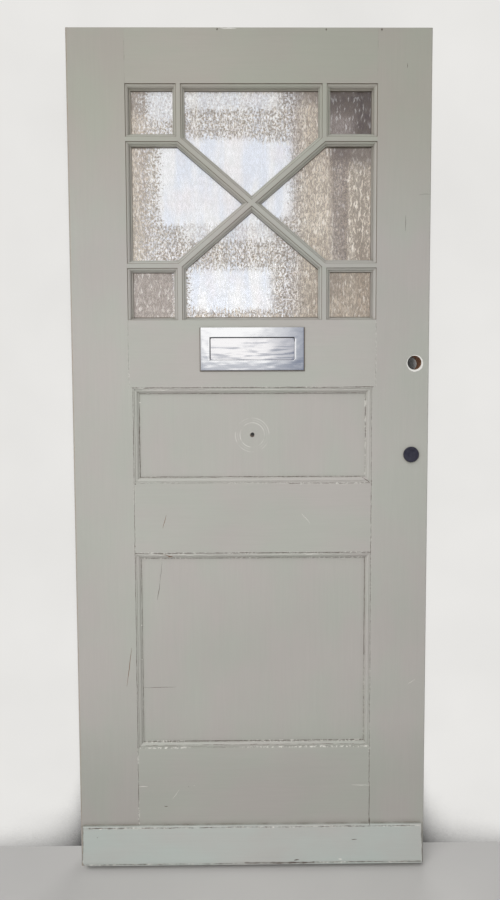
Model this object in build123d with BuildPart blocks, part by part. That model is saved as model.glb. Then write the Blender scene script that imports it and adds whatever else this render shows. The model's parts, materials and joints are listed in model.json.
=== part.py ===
from build123d import *
import os
from math import atan2, cos, degrees, pi, sin

# A panelled timber front door leaf. Millimetres. The weather side faces -Y, the hinge stile is at -X,
# and the origin is the middle of the leaf's bottom edge.

# Leaf
leaf_width = 838.0
leaf_height = 1981.0
leaf_thickness = 44.0
arris_radius = 2.5

# Stiles and rails
hinge_stile_width = 133.0
lock_stile_width = 125.0
stile_widening = 9.0
top_rail_height = 123.0
glazing_height = 536.0
letter_rail_height = 157.0
upper_panel_height = 225.0
middle_rail_height = 168.0
bottom_rail_height = 294.0

# Joints of the frame
tenon_thickness = 14.0
tenon_margin = 28.0
letter_tenon_length = 62.0
bottom_tenon_height = 70.0
bottom_tenon_gap = 34.0
wedge_length = 60.0
wedge_thickness = 6.0

# Moulding worked on the edge round the glass
sticking_width = 12.0
sticking_depth = 17.0
quirk = 1.5
sticking_ovolo = 8.5
sill_rise = 9.0

# Glazing bars
bar_side_inset = 122.0
bar_low_rise = 125.0
bar_high_drop = 124.0
bar_flat = 10.0
bar_width = 27.0
bar_ovolo = 6.0
bar_fin = 8.0
bar_depth = 36.0
bar_tenon_length = 12.0
bar_halving_depth = 26.5

# Glass and its beads
glass_thickness = 4.0
glass_clearance = 1.5
bead_width = 9.0
bead_height = 13.0
bead_top = 4.0
bead_foot = 2.5
mitre_gap = 0.2
mitre_overrun = 0.2

# Panels and their mouldings
panel_recess = 8.0
panel_raise = 6.0
panel_tongue = 12.0
panel_tongue_length = 10.0
groove_depth = 12.0
panel_clearance = 0.5
moulding_width = 13.5
moulding_setback = 0.5
moulding_flat = 3.0
moulding_quirk = 1.2
moulding_lip = 1.8
moulding_lip_width = 2.0
moulding_swell = 1.3
back_moulding_width = 14.0
back_moulding_height = 14.0

# Weatherboard
board_inset = 7.0
board_level = 13.0
board_height = 89.0
board_top_thickness = 7.0
board_nose_thickness = 21.0
board_nose_height = 8.0
board_left_round = 14.0
board_right_round = 5.0
drip_radius = 2.5
drip_inset = 7.0
board_arris = 2.0
board_nose_radius = 3.0

# Letter plate
plate_width = 243.0
plate_height = 101.0
plate_thickness = 3.2
plate_rise = 89.5
plate_corner = 1.5
plate_round = 1.8
plate_side_border = 22.5
plate_head_border = 24.0
plate_opening_corner = 4.0
plate_opening_round = 0.8
slot_side_gap = 4.5
slot_head_gap = 10.5
slot_corner = 3.0
boss_radius = 5.0
boss_length = 6.0
boss_clearance = 0.5
boss_inset = 9.5
bolt_radius = 2.5
bolt_hole_radius = 3.25
bolt_overrun = 3.0
nut_across_flats = 8.0
nut_height = 4.0

# Letter flap
flap_gap = 1.0
flap_setback = 0.8
flap_face_thickness = 2.7
flap_flange_thickness = 1.5
flap_flange = 3.0
flap_flange_drop = 9.0
flap_round = 0.6
flap_hollow_margin = 7.0
flap_hollow_drop = 15.0
flap_hollow_depth = 2.0
pin_radius = 1.5
pin_clearance = 0.05
pin_drop = 5.5
pin_depth = 5.5
barrel_radius = 3.0
barrel_gap = 30.0
lug_inset = 8.0
lug_width = 5.5
lug_wall = 1.7
lug_clearance = 0.5
lug_height = 8.0
lug_foot_rise = 1.5
spring_inner_radius = 1.9
spring_outer_radius = 3.4
spring_length = 26.0
spring_leg_length = 13.0
spring_leg = 1.2

# Removed furniture
cylinder_radius = 16.5
cylinder_backset = 34.3
cylinder_rise = 56.5
knob_hole_radius = 4.0
knob_hole_rise = 115.0

# Keyhole and its escutcheons
keyhole_backset = 40.0
escutcheon_rise = 65.5
keyhole_rise = 3.0
keyhole_bow = 4.5
keyhole_slot = 4.0
keyhole_drop = 11.0
escutcheon_radius = 18.5
escutcheon_thickness = 2.0
escutcheon_round = 0.5
cover_radius = 17.8
cover_thickness = 2.0
cover_lift = 0.3
cover_round = 0.8
cover_pivot_rise = 12.5
rivet_radius = 1.5
rivet_head_radius = 2.6
rivet_head_height = 1.0
small_screw_radius = 1.75
small_screw_head = 3.2
small_screw_length = 14.0
small_screw_offset = 11.5
screw_clearance = 0.05
screw_slot_width = 0.8
screw_slot_depth = 0.8

# Mortice lock
case_depth = 58.0
case_height = 74.0
case_thickness = 15.0
case_wall = 1.5
case_clearance = 0.25
case_rise = 6.0
forend_width = 25.0
forend_height = 118.0
forend_thickness = 3.0
forend_screw_spacing = 96.0
forend_screw_length = 20.0
forend_screw_radius = 2.0
forend_screw_head = 3.8
deadbolt_rise = 22.0
deadbolt_height = 25.0
deadbolt_thickness = 10.0
deadbolt_head = 24.0
deadbolt_tail = 26.0
deadbolt_tail_thickness = 4.0
deadbolt_clearance = 0.15
deadbolt_throw = 14.0
stump_radius = 3.0
stump_setback = 5.5
stump_clearance = 0.25

# Hinge recesses
hinge_height = 100.0
hinge_leaf_width = 32.0
hinge_leaf_thickness = 2.5
hinge_top_margin = 150.0
hinge_bottom_margin = 225.0
hinge_hole_radius = 1.6
hinge_hole_depth = 25.0
hinge_hole_spacing = 36.0
hinge_hole_count = 3

# Levels and edges that several pieces share
front = -leaf_thickness / 2
back = leaf_thickness / 2
left = -leaf_width / 2
right = leaf_width / 2
glass_left = left + hinge_stile_width
glass_right = right - lock_stile_width
glass_top = leaf_height - top_rail_height
panel_left = glass_left + stile_widening
panel_right = glass_right - stile_widening
sill_level = glass_top - glazing_height
letter_rail_level = sill_level - letter_rail_height
middle_rail_top = letter_rail_level - upper_panel_height
middle_rail_level = middle_rail_top - middle_rail_height
middle_x = (glass_left + glass_right) / 2
glass_front = front + sticking_depth
glass_back = glass_front + glass_thickness
panel_front = front + panel_recess
tongue_front = panel_front + panel_raise
tongue_back = tongue_front + panel_tongue
out_front = Vector(0, -1, 0)
out_back = Vector(0, 1, 0)


def at_depth(y):
    # Plane seen from the front, with X to the right and Z up; a negative amount runs to the back
    return Plane(origin=(0, y, 0), x_dir=(1, 0, 0), z_dir=(0, -1, 0))


def in_face(point):
    # A point of the leaf's face, given as x and z, in space at Y = 0
    return Vector(point[0], 0, point[1])


# Grid of the glazing: frame edges, bar lines and the crossing of the diagonals
bar_left = glass_left + bar_side_inset
bar_right = glass_right - bar_side_inset
bar_low = sill_level + bar_low_rise
bar_high = glass_top - bar_high_drop
crossing = ((bar_left + bar_right) / 2, (bar_low + bar_high) / 2)


def inset(outline, margins):
    # Moves each side of an anticlockwise outline inwards by its own margin
    moved = []
    for index, (x, z) in enumerate(outline):
        x_before, z_before = outline[index - 1]
        x_after, z_after = outline[(index + 1) % len(outline)]
        before = atan2(z - z_before, x - x_before)
        after = atan2(z_after - z, x_after - x)
        m_before = margins[index - 1]
        m_after = margins[index]
        turn = sin(after - before)
        dx = (m_before * cos(after) - m_after * cos(before)) / turn
        dz = (m_before * sin(after) - m_after * sin(before)) / turn
        moved.append((x + dx, z + dz))
    return moved


def mitred_lengths(outline, width, seat, outward, draw_section):
    # One length of moulding or bead along each side of an outline, mitred to its neighbours
    inner = inset(outline, [width] * len(outline))
    hair = mitre_gap / 2
    lengths = []
    for index, first in enumerate(outline):
        last_index = (index + 1) % len(outline)
        start = in_face(first)
        end = in_face(outline[last_index])
        inner_start = in_face(inner[index])
        inner_end = in_face(inner[last_index])
        along = (end - start).normalized()
        inward = Vector(-along.Z, 0, along.X)
        root = start if outward == out_front else end
        with BuildPart() as length:
            seat_plane = Plane(
                origin=root + Vector(0, seat, 0), x_dir=inward, z_dir=inward.cross(outward)
            )
            extrude(draw_section(seat_plane), amount=(end - start).length)
            corners = [
                start + (start - inner_start) * mitre_overrun + along * hair,
                end + (end - inner_end) * mitre_overrun - along * hair,
                inner_end + (inner_end - end) * mitre_overrun - along * hair,
                inner_start + (inner_start - start) * mitre_overrun + along * hair,
            ]
            with BuildSketch(at_depth(0)):
                Polygon(*[(corner.X, corner.Z) for corner in corners], align=None)
            extrude(amount=leaf_thickness, both=True, mode=Mode.INTERSECT)
        lengths.append(length.part)
    return lengths


def face_rectangle(x_low, x_high, z_low, z_high):
    # Rectangle in the leaf's face between four lines
    with Locations(((x_low + x_high) / 2, (z_low + z_high) / 2)):
        Rectangle(x_high - x_low, z_high - z_low)


# Moulding worked round the glazed opening

def sticking_run(corner, inward, length):
    # A run of the ovolo moulding: local x runs in from the frame's edge, local y back from its face
    with BuildPart() as run:
        with BuildSketch(Plane(origin=corner, x_dir=inward, z_dir=inward.cross(out_back))):
            with BuildLine():
                ovolo_foot = quirk + sticking_ovolo
                Line((0, sticking_depth), (0, quirk))
                JernArc((0, quirk), (1, 0), sticking_ovolo, 90)
                Polyline(
                    (sticking_ovolo, ovolo_foot),
                    (sticking_width, ovolo_foot),
                    (sticking_width, sticking_depth),
                    (0, sticking_depth),
                )
            make_face()
        extrude(amount=length)
    return run.part


left_run = sticking_run(Vector(glass_left, front, sill_level), Vector(1, 0, 0), glazing_height)
right_run = sticking_run(Vector(glass_right, front, glass_top), Vector(-1, 0, 0), glazing_height)
top_run = sticking_run(
    Vector(glass_left, front, glass_top), Vector(0, 0, -1), glass_right - glass_left
)
with BuildPart() as sill_lip:
    with BuildSketch(Plane.YZ.offset(glass_left)):
        with BuildLine():
            Polyline(
                (front, sill_level),
                (glass_front, sill_level),
                (glass_front, sill_level + sill_rise),
                close=True,
            )
        make_face()
    extrude(amount=glass_right - glass_left)


# Tenons, their wedges and the mortices

upper_bottom_tenon = tenon_margin + bottom_tenon_height + bottom_tenon_gap
through_tenons = [
    (glass_top + tenon_margin, leaf_height - tenon_margin),
    (middle_rail_level + tenon_margin, middle_rail_top - tenon_margin),
    (upper_bottom_tenon, upper_bottom_tenon + bottom_tenon_height),
    (tenon_margin, tenon_margin + bottom_tenon_height),
]
top_tenons = through_tenons[:1]
middle_tenons = through_tenons[1:2]
bottom_tenons = through_tenons[2:]
letter_tenon = (letter_rail_level + tenon_margin, sill_level - tenon_margin)


def tenon_slab(x_low, x_high, levels):
    # The tenons of one rail as slabs across the leaf
    with BuildPart() as slab:
        with BuildSketch(at_depth(-tenon_thickness / 2)):
            for low, high in levels:
                face_rectangle(x_low, x_high, low, high)
        extrude(amount=-tenon_thickness)
    return slab.part


letter_tenons = tenon_slab(
    glass_left - letter_tenon_length, glass_right + letter_tenon_length, [letter_tenon]
)


def wedge_outlines(edge, inward):
    # Thin triangles above and below each through tenon at one edge of the leaf
    tip = edge + inward * wedge_length
    for low, high in through_tenons:
        yield (edge, high), (edge, high + wedge_thickness), (tip, high)
        yield (edge, low), (edge, low - wedge_thickness), (tip, low)


def wedge_slabs(edge, inward):
    with BuildPart() as slabs:
        with BuildSketch(at_depth(-tenon_thickness / 2)):
            for outline in wedge_outlines(edge, inward):
                Polygon(*outline, align=None)
        extrude(amount=-tenon_thickness)
    return slabs.part


panel_levels = [(middle_rail_top, letter_rail_level), (bottom_rail_height, middle_rail_level)]

# The grooves that hold the panels' tongues, as one slab for each panel
with BuildPart() as panel_cavities:
    with BuildSketch(at_depth(tongue_front)):
        for low, high in panel_levels:
            face_rectangle(
                panel_left - groove_depth,
                panel_right + groove_depth,
                low - groove_depth,
                high + groove_depth,
            )
    extrude(amount=-panel_tongue)

# Sockets for the stub tenons of the glazing bars
with BuildPart() as bar_mortices:
    with BuildSketch(at_depth(glass_front)):
        for level in (bar_low, bar_high):
            for edge in (glass_left, glass_right):
                with Locations((edge, level)):
                    Rectangle(2 * bar_tenon_length, bar_fin)
        for x in (bar_left, bar_right):
            for edge in (sill_level, glass_top):
                with Locations((x, edge)):
                    Rectangle(bar_fin, 2 * bar_tenon_length)
    extrude(amount=-(bar_depth - sticking_depth))


# Stiles

def stile_blank(edge, glass_edge, panel_edge, run):
    inward = 1 if glass_edge > edge else -1
    with BuildPart() as blank:
        with BuildSketch(at_depth(front)):
            with BuildLine():
                Polyline(
                    (edge, 0),
                    (panel_edge, 0),
                    (panel_edge, letter_rail_level),
                    (glass_edge, letter_rail_level),
                    (glass_edge, leaf_height),
                    (edge, leaf_height),
                    close=True,
                )
            make_face()
        extrude(amount=-leaf_thickness)
        outer_arrises = blank.edges().filter_by(Axis.Z).group_by(Axis.X)[0 if inward > 0 else -1]
        fillet(outer_arrises, arris_radius)
        add(run)
        add(tenon_slab(left, right, through_tenons), mode=Mode.SUBTRACT)
        add(letter_tenons, mode=Mode.SUBTRACT)
        add(wedge_slabs(edge, inward), mode=Mode.SUBTRACT)
        add(panel_cavities.part, mode=Mode.SUBTRACT)
        add(bar_mortices.part, mode=Mode.SUBTRACT)
    return blank.part


hinge_levels = [
    leaf_height - hinge_top_margin - hinge_height / 2,
    (leaf_height - hinge_top_margin + hinge_bottom_margin) / 2,
    hinge_bottom_margin + hinge_height / 2,
]
hinge_line = back - hinge_leaf_width / 2

with BuildPart() as hinge_stile:
    add(stile_blank(left, glass_left, panel_left, left_run))
    with BuildSketch(Plane.YZ.offset(left)):
        with Locations(*[(hinge_line, level) for level in hinge_levels]):
            Rectangle(hinge_leaf_width, hinge_height)
    extrude(amount=hinge_leaf_thickness, mode=Mode.SUBTRACT)
    with BuildSketch(Plane.YZ.offset(left)):
        with Locations(*[(hinge_line, level) for level in hinge_levels]):
            with GridLocations(0, hinge_hole_spacing, 1, hinge_hole_count):
                Circle(hinge_hole_radius)
    extrude(amount=hinge_leaf_thickness + hinge_hole_depth, mode=Mode.SUBTRACT)


# Mortice lock and keyhole places

keyhole_x = right - keyhole_backset
escutcheon_level = middle_rail_top + escutcheon_rise
keyhole_level = escutcheon_level + keyhole_rise
case_level = keyhole_level + case_rise
case_front = right - forend_thickness
case_back = case_front - case_depth
deadbolt_level = keyhole_level + deadbolt_rise
forend_screw_levels = [case_level - forend_screw_spacing / 2, case_level + forend_screw_spacing / 2]
screw_places = [
    (keyhole_x - small_screw_offset, escutcheon_level),
    (keyhole_x + small_screw_offset, escutcheon_level),
]


def keyhole_shape():
    # Round bow with a straight slot below it, in the current sketch seen from either side
    with Locations((0, 0)):
        Circle(keyhole_bow)
    with Locations((0, -keyhole_drop / 2)):
        Rectangle(keyhole_slot, keyhole_drop)


def face_at(y, outward, x, z):
    # Plane on the leaf's face, or parallel to it, centred on a point and facing outwards
    return Plane(origin=(x, y, z), x_dir=(-outward.Y, 0, 0), z_dir=outward)


with BuildPart() as lock_stile:
    add(stile_blank(right, glass_right, panel_right, right_run))
    with BuildSketch(at_depth(front)):
        with Locations((right - cylinder_backset, letter_rail_level + cylinder_rise)):
            Circle(cylinder_radius)
    extrude(amount=-leaf_thickness, mode=Mode.SUBTRACT)
    with BuildSketch(Plane.YZ.offset(case_front)):
        with Locations((0, case_level)):
            Rectangle(forend_width, forend_height)
    extrude(amount=forend_thickness, mode=Mode.SUBTRACT)
    with BuildSketch(Plane.YZ.offset(case_back - case_clearance)):
        with Locations((0, case_level)):
            Rectangle(case_thickness + 2 * case_clearance, case_height + 2 * case_clearance)
    extrude(amount=case_depth + case_clearance, mode=Mode.SUBTRACT)
    with BuildSketch(face_at(front, out_front, keyhole_x, keyhole_level)):
        keyhole_shape()
    extrude(amount=-leaf_thickness, mode=Mode.SUBTRACT)
    for face, outward in ((front, out_front), (back, out_back)):
        for x, z in screw_places:
            with BuildSketch(face_at(face, outward, x, z)):
                Circle(small_screw_radius + screw_clearance)
            extrude(amount=escutcheon_thickness - small_screw_length, mode=Mode.SUBTRACT)
    for level in forend_screw_levels:
        with BuildSketch(Plane(origin=(right, 0, level), z_dir=(1, 0, 0))):
            Circle(forend_screw_radius + screw_clearance)
        extrude(amount=-forend_screw_length, mode=Mode.SUBTRACT)


# Rails

with BuildPart() as top_rail:
    with BuildSketch(at_depth(front)):
        face_rectangle(glass_left, glass_right, glass_top, leaf_height)
    extrude(amount=-leaf_thickness)
    add(top_run)
    add(tenon_slab(left, right, top_tenons))
    add(left_run, mode=Mode.SUBTRACT)
    add(right_run, mode=Mode.SUBTRACT)
    add(bar_mortices.part, mode=Mode.SUBTRACT)

plate_level = letter_rail_level + plate_rise
plate_opening_width = plate_width - 2 * plate_side_border
plate_opening_height = plate_height - 2 * plate_head_border
opening_top = plate_level + plate_opening_height / 2
opening_foot = plate_level - plate_opening_height / 2
boss_places = [
    (middle_x - plate_width / 2 + boss_inset, plate_level),
    (middle_x + plate_width / 2 - boss_inset, plate_level),
]

with BuildPart() as letter_rail:
    with BuildSketch(at_depth(front)):
        face_rectangle(glass_left, glass_right, letter_rail_level, sill_level)
    extrude(amount=-leaf_thickness)
    add(sill_lip.part)
    add(letter_tenons)
    add(left_run, mode=Mode.SUBTRACT)
    add(right_run, mode=Mode.SUBTRACT)
    add(panel_cavities.part, mode=Mode.SUBTRACT)
    add(bar_mortices.part, mode=Mode.SUBTRACT)
    with BuildSketch(at_depth(front)):
        with Locations((middle_x, plate_level + (slot_head_gap - slot_side_gap) / 2)):
            RectangleRounded(
                plate_opening_width + 2 * slot_side_gap,
                plate_opening_height + slot_head_gap + slot_side_gap,
                slot_corner,
            )
        with Locations(*boss_places):
            Circle(bolt_hole_radius)
    extrude(amount=-leaf_thickness, mode=Mode.SUBTRACT)
    with BuildSketch(at_depth(front)):
        with Locations(*boss_places):
            Circle(boss_radius + boss_clearance)
    extrude(amount=-(boss_length + boss_clearance), mode=Mode.SUBTRACT)

with BuildPart() as middle_rail:
    with BuildSketch(at_depth(front)):
        face_rectangle(panel_left, panel_right, middle_rail_level, middle_rail_top)
    extrude(amount=-leaf_thickness)
    add(tenon_slab(left, right, middle_tenons))
    add(panel_cavities.part, mode=Mode.SUBTRACT)

with BuildPart() as bottom_rail:
    with BuildSketch(at_depth(front)):
        face_rectangle(panel_left, panel_right, 0, bottom_rail_height)
    extrude(amount=-leaf_thickness)
    add(tenon_slab(left, right, bottom_tenons))
    add(panel_cavities.part, mode=Mode.SUBTRACT)

with BuildPart() as tenon_wedges:
    add(wedge_slabs(left, 1))
    add(wedge_slabs(right, -1))


# Panels: a tongued board whose front is raised to fill the opening

def panel_board(low, high):
    with BuildPart() as board:
        with BuildSketch(at_depth(tongue_front)):
            face_rectangle(
                panel_left - panel_tongue_length,
                panel_right + panel_tongue_length,
                low - panel_tongue_length,
                high + panel_tongue_length,
            )
        extrude(amount=-panel_tongue)
        with BuildSketch(at_depth(tongue_front)):
            face_rectangle(
                panel_left + panel_clearance,
                panel_right - panel_clearance,
                low + panel_clearance,
                high - panel_clearance,
            )
        extrude(amount=panel_raise)
    return board.part


with BuildPart() as upper_panel:
    add(panel_board(*panel_levels[0]))
    with BuildSketch(at_depth(panel_front)):
        with Locations((middle_x, middle_rail_top + knob_hole_rise)):
            Circle(knob_hole_radius)
    extrude(amount=-(panel_raise + panel_tongue), mode=Mode.SUBTRACT)

lower_panel_board = panel_board(*panel_levels[1])


# Planted mouldings

def front_moulding_section(plane):
    height = panel_recess - moulding_setback
    hollow_start = (moulding_flat, height - moulding_quirk)
    hollow_end = (moulding_width - moulding_lip_width, moulding_lip)
    middle = (
        (hollow_start[0] + hollow_end[0]) / 2 + moulding_swell / 2,
        (hollow_start[1] + hollow_end[1]) / 2 + moulding_swell,
    )
    with BuildSketch(plane) as section:
        with BuildLine():
            Polyline((0, 0), (0, height), (moulding_flat, height), hollow_start)
            ThreePointArc(hollow_start, middle, hollow_end)
            Polyline(hollow_end, (moulding_width, moulding_lip), (moulding_width, 0), (0, 0))
        make_face()
    return section.sketch


def back_moulding_section(plane):
    radius = back_moulding_width - moulding_flat
    with BuildSketch(plane) as section:
        with BuildLine():
            Polyline((0, 0), (0, back_moulding_height), (moulding_flat, back_moulding_height))
            JernArc((moulding_flat, back_moulding_height), (1, 0), radius, -90)
            Polyline(
                (back_moulding_width, back_moulding_height - radius), (back_moulding_width, 0), (0, 0)
            )
        make_face()
    return section.sketch


def panel_opening(low, high):
    return [(panel_left, low), (panel_right, low), (panel_right, high), (panel_left, high)]


def gathered(lengths):
    # Separate lengths that belong together, kept as separate solids
    with BuildPart() as group:
        for length in lengths:
            add(length)
    return group.part


# Glazing bars

def bar_direction(start, end):
    return atan2(end[1] - start[1], end[0] - start[0])


def beyond(point, angle, distance):
    return (point[0] + distance * cos(angle), point[1] + distance * sin(angle))


def halfway(own, other):
    # Angle halfway from one direction to another, the short way round
    turn = (other - own + pi) % (2 * pi) - pi
    return own + turn / 2


def bar_body(start, end):
    # A length of bar from one point of the face to another, its flat flush with the face
    along = (in_face(end) - in_face(start)).normalized()
    sideways = Vector(along.Z, 0, -along.X)
    plane = Plane(
        origin=in_face(start) + Vector(0, front, 0), x_dir=sideways, z_dir=along
    )
    half_flat = bar_flat / 2
    ovolo_foot = quirk + bar_ovolo
    with BuildPart() as body:
        with BuildSketch(plane):
            with BuildLine():
                Polyline((0, 0), (half_flat, 0), (half_flat, quirk))
                JernArc((half_flat, quirk), (1, 0), bar_ovolo, 90)
                Polyline(
                    (half_flat + bar_ovolo, ovolo_foot),
                    (bar_width / 2, ovolo_foot),
                    (bar_width / 2, sticking_depth),
                    (bar_fin / 2, sticking_depth),
                    (bar_fin / 2, bar_depth),
                    (0, bar_depth),
                )
                mirror(about=Plane.YZ)
            make_face()
        extrude(amount=(in_face(end) - in_face(start)).length)
    return body.part


def mitre_sector(junction, own, others):
    # The sector between its two neighbours that a bar leaving a junction may fill
    reach = leaf_width
    first = beyond(junction, halfway(own, others[0]), reach)
    far = beyond(junction, own, 2 * reach)
    second = beyond(junction, halfway(own, others[1]), reach)
    with BuildPart() as sector:
        with BuildSketch(at_depth(0)):
            with BuildLine():
                Polyline(junction, first, far, second, close=True)
            make_face()
        extrude(amount=leaf_thickness, both=True)
    return sector.part


def bar_stub(point, own):
    # Stub tenon that runs from the bar's fin into the frame
    with BuildPart() as stub:
        with BuildSketch(at_depth(glass_front)):
            with Locations(beyond(point, own, bar_tenon_length / 2)):
                Rectangle(bar_tenon_length, bar_fin, rotation=degrees(own))
        extrude(amount=-(bar_depth - sticking_depth))
    return stub.part


def cope_to_frame():
    # Scribes the bar over the moulding and the sill
    for run in (left_run, right_run, top_run, sill_lip.part):
        add(run, mode=Mode.SUBTRACT)


def short_bar(foot, junction, neighbour):
    # Bar from the frame to a junction, where another short bar and a diagonal meet it
    own = bar_direction(junction, foot)
    others = [bar_direction(junction, neighbour), bar_direction(junction, crossing)]
    with BuildPart() as bar:
        add(bar_body(beyond(junction, own, -bar_width), foot))
        add(mitre_sector(junction, own, others), mode=Mode.INTERSECT)
        add(bar_stub(foot, own))
        cope_to_frame()
    return bar.part


junctions = {
    "top_left": (bar_left, bar_high),
    "top_right": (bar_right, bar_high),
    "bottom_left": (bar_left, bar_low),
    "bottom_right": (bar_right, bar_low),
}


def junction_feet(place):
    # Where the level bar and the upright bar of a junction reach the frame
    x, z = junctions[place]
    level_foot = (glass_left if "left" in place else glass_right, z)
    upright_foot = (x, glass_top if "top" in place else sill_level)
    return level_foot, upright_foot


def diagonal_bar(first, last):
    # Diagonal between two junctions, mitred to the short bars at both ends
    with BuildPart() as bar:
        own = bar_direction(junctions[first], junctions[last])
        start = beyond(junctions[first], own, -bar_width)
        end = beyond(junctions[last], own, bar_width)
        add(bar_body(start, end))
        for place, angle in ((first, own), (last, own + pi)):
            feet = junction_feet(place)
            others = [bar_direction(junctions[place], foot) for foot in feet]
            add(mitre_sector(junctions[place], angle, others), mode=Mode.INTERSECT)
    return bar.part


with BuildPart() as falling_bar:
    add(diagonal_bar("top_left", "bottom_right"))
    rising = bar_direction(junctions["bottom_left"], junctions["top_right"])
    with BuildSketch(at_depth(front + bar_halving_depth)):
        with Locations(crossing):
            Rectangle(4 * bar_width, bar_fin, rotation=degrees(rising))
    extrude(amount=-(bar_depth - bar_halving_depth), mode=Mode.SUBTRACT)

with BuildPart() as rising_bar:
    add(diagonal_bar("bottom_left", "top_right"))
    add(falling_bar.part, mode=Mode.SUBTRACT)


# Panes and beads

pane_corners = {}
for place, (x, z) in junctions.items():
    (edge_x, _), (_, edge_z) = junction_feet(place)
    x_low, x_high = min(x, edge_x), max(x, edge_x)
    z_low, z_high = min(z, edge_z), max(z, edge_z)
    pane_corners[place] = [(x_low, z_low), (x_high, z_low), (x_high, z_high), (x_low, z_high)]
top_left, top_right = junctions["top_left"], junctions["top_right"]
bottom_left, bottom_right = junctions["bottom_left"], junctions["bottom_right"]
pane_corners["top"] = [
    (bar_left, glass_top), top_left, crossing, top_right, (bar_right, glass_top)
]
pane_corners["bottom"] = [
    (bar_right, sill_level), bottom_right, crossing, bottom_left, (bar_left, sill_level)
]
pane_corners["left"] = [
    (glass_left, bar_high), (glass_left, bar_low), bottom_left, crossing, top_left
]
pane_corners["right"] = [
    (glass_right, bar_low), (glass_right, bar_high), top_right, crossing, bottom_right
]


def rebate_outline(corners):
    # The sides of the rebate that holds a pane: the frame's edge, or the fin of a bar
    margins = []
    for start, end in zip(corners, corners[1:] + corners[:1]):
        beside_stile = start[0] == end[0] and start[0] in (glass_left, glass_right)
        beside_rail = start[1] == end[1] and start[1] in (sill_level, glass_top)
        margins.append(0.0 if beside_stile or beside_rail else bar_fin / 2)
    return inset(corners, margins)


def pane(outline):
    with BuildPart() as glass:
        with BuildSketch(at_depth(glass_front)):
            Polygon(*inset(outline, [glass_clearance] * len(outline)), align=None)
        extrude(amount=-glass_thickness)
    return glass.part


def bead_section(plane):
    with BuildSketch(plane) as section:
        with BuildLine():
            Polyline(
                (0, 0),
                (bead_width, 0),
                (bead_width, bead_foot),
                (bead_top, bead_height),
                (0, bead_height),
                close=True,
            )
        make_face()
    return section.sketch


# Weatherboard

with BuildPart() as weatherboard:
    board_top = board_level + board_height
    with BuildSketch(Plane.YZ.offset(left + board_inset)):
        with BuildLine():
            nose = front - board_nose_thickness
            Polyline(
                (front, board_level),
                (front, board_top),
                (front - board_top_thickness, board_top),
                (nose, board_level + board_nose_height),
                (nose, board_level),
                close=True,
            )
        make_face()
        with Locations((nose + drip_inset, board_level)):
            Circle(drip_radius, mode=Mode.SUBTRACT)
    extrude(amount=leaf_width - 2 * board_inset)
    with BuildSketch(at_depth(front)):
        with BuildLine():
            x_low = left + board_inset
            x_high = right - board_inset
            Line((x_low, board_top), (x_low, board_level + board_left_round))
            JernArc((x_low, board_level + board_left_round), (0, -1), board_left_round, 90)
            Line((x_low + board_left_round, board_level), (x_high - board_right_round, board_level))
            JernArc((x_high - board_right_round, board_level), (1, 0), board_right_round, 90)
            Polyline(
                (x_high, board_level + board_right_round), (x_high, board_top), (x_low, board_top)
            )
        make_face()
    extrude(amount=leaf_thickness, both=True, mode=Mode.INTERSECT)
    long_edges = weatherboard.edges().filter_by(Axis.X)
    fillet(long_edges.group_by(Axis.Z)[-1].sort_by(Axis.Y)[0], board_arris)
    slope_foot = board_level + board_nose_height
    fillet(
        long_edges.filter_by_position(Axis.Z, slope_foot - 0.1, slope_foot + 0.1).sort_by(Axis.Y)[0],
        board_nose_radius,
    )


# Letter plate

plate_face = front - plate_thickness
pin_y = front + pin_depth
pin_z = opening_top - pin_drop
lug_reach = pin_radius + pin_clearance + lug_wall
lug_outer = plate_opening_width / 2 - lug_inset
lug_inner = lug_outer - lug_width
barrel_length = lug_inner - lug_clearance - barrel_gap / 2


def pin_circle(radius, mode=Mode.ADD):
    with Locations((pin_y, pin_z)):
        Circle(radius, mode=mode)


with BuildPart() as letter_plate:
    with BuildSketch(at_depth(front)):
        with Locations((middle_x, plate_level)):
            RectangleRounded(plate_width, plate_height, plate_corner)
            RectangleRounded(
                plate_opening_width, plate_opening_height, plate_opening_corner, mode=Mode.SUBTRACT
            )
    extrude(amount=plate_thickness)
    outer_face = letter_plate.faces().sort_by(Axis.Y)[0]
    opening_edges = outer_face.inner_wires()[0].edges()
    fillet(outer_face.outer_wire().edges(), plate_round)
    fillet(opening_edges, plate_opening_round)
    with BuildSketch(at_depth(front)):
        with Locations(*boss_places):
            Circle(boss_radius)
            Circle(bolt_radius + screw_clearance, mode=Mode.SUBTRACT)
    extrude(amount=-boss_length)
    for start in (middle_x - lug_outer, middle_x + lug_inner):
        with BuildSketch(Plane.YZ.offset(start)):
            lug_top = opening_top + lug_foot_rise + lug_height
            with BuildLine():
                Polyline(
                    (front, opening_top + lug_foot_rise),
                    (pin_y - lug_reach, opening_top + lug_foot_rise),
                    (pin_y - lug_reach, pin_z),
                    (pin_y + lug_reach, pin_z),
                    (pin_y + lug_reach, lug_top),
                    (front, lug_top),
                    close=True,
                )
            make_face()
            pin_circle(lug_reach)
            pin_circle(pin_radius + pin_clearance, Mode.SUBTRACT)
        extrude(amount=lug_width)

flap_face = plate_face + flap_setback
flap_back = flap_face + flap_face_thickness + flap_flange_thickness
flap_width = plate_opening_width - 2 * flap_gap
flap_height = plate_opening_height - 2 * flap_gap

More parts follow.
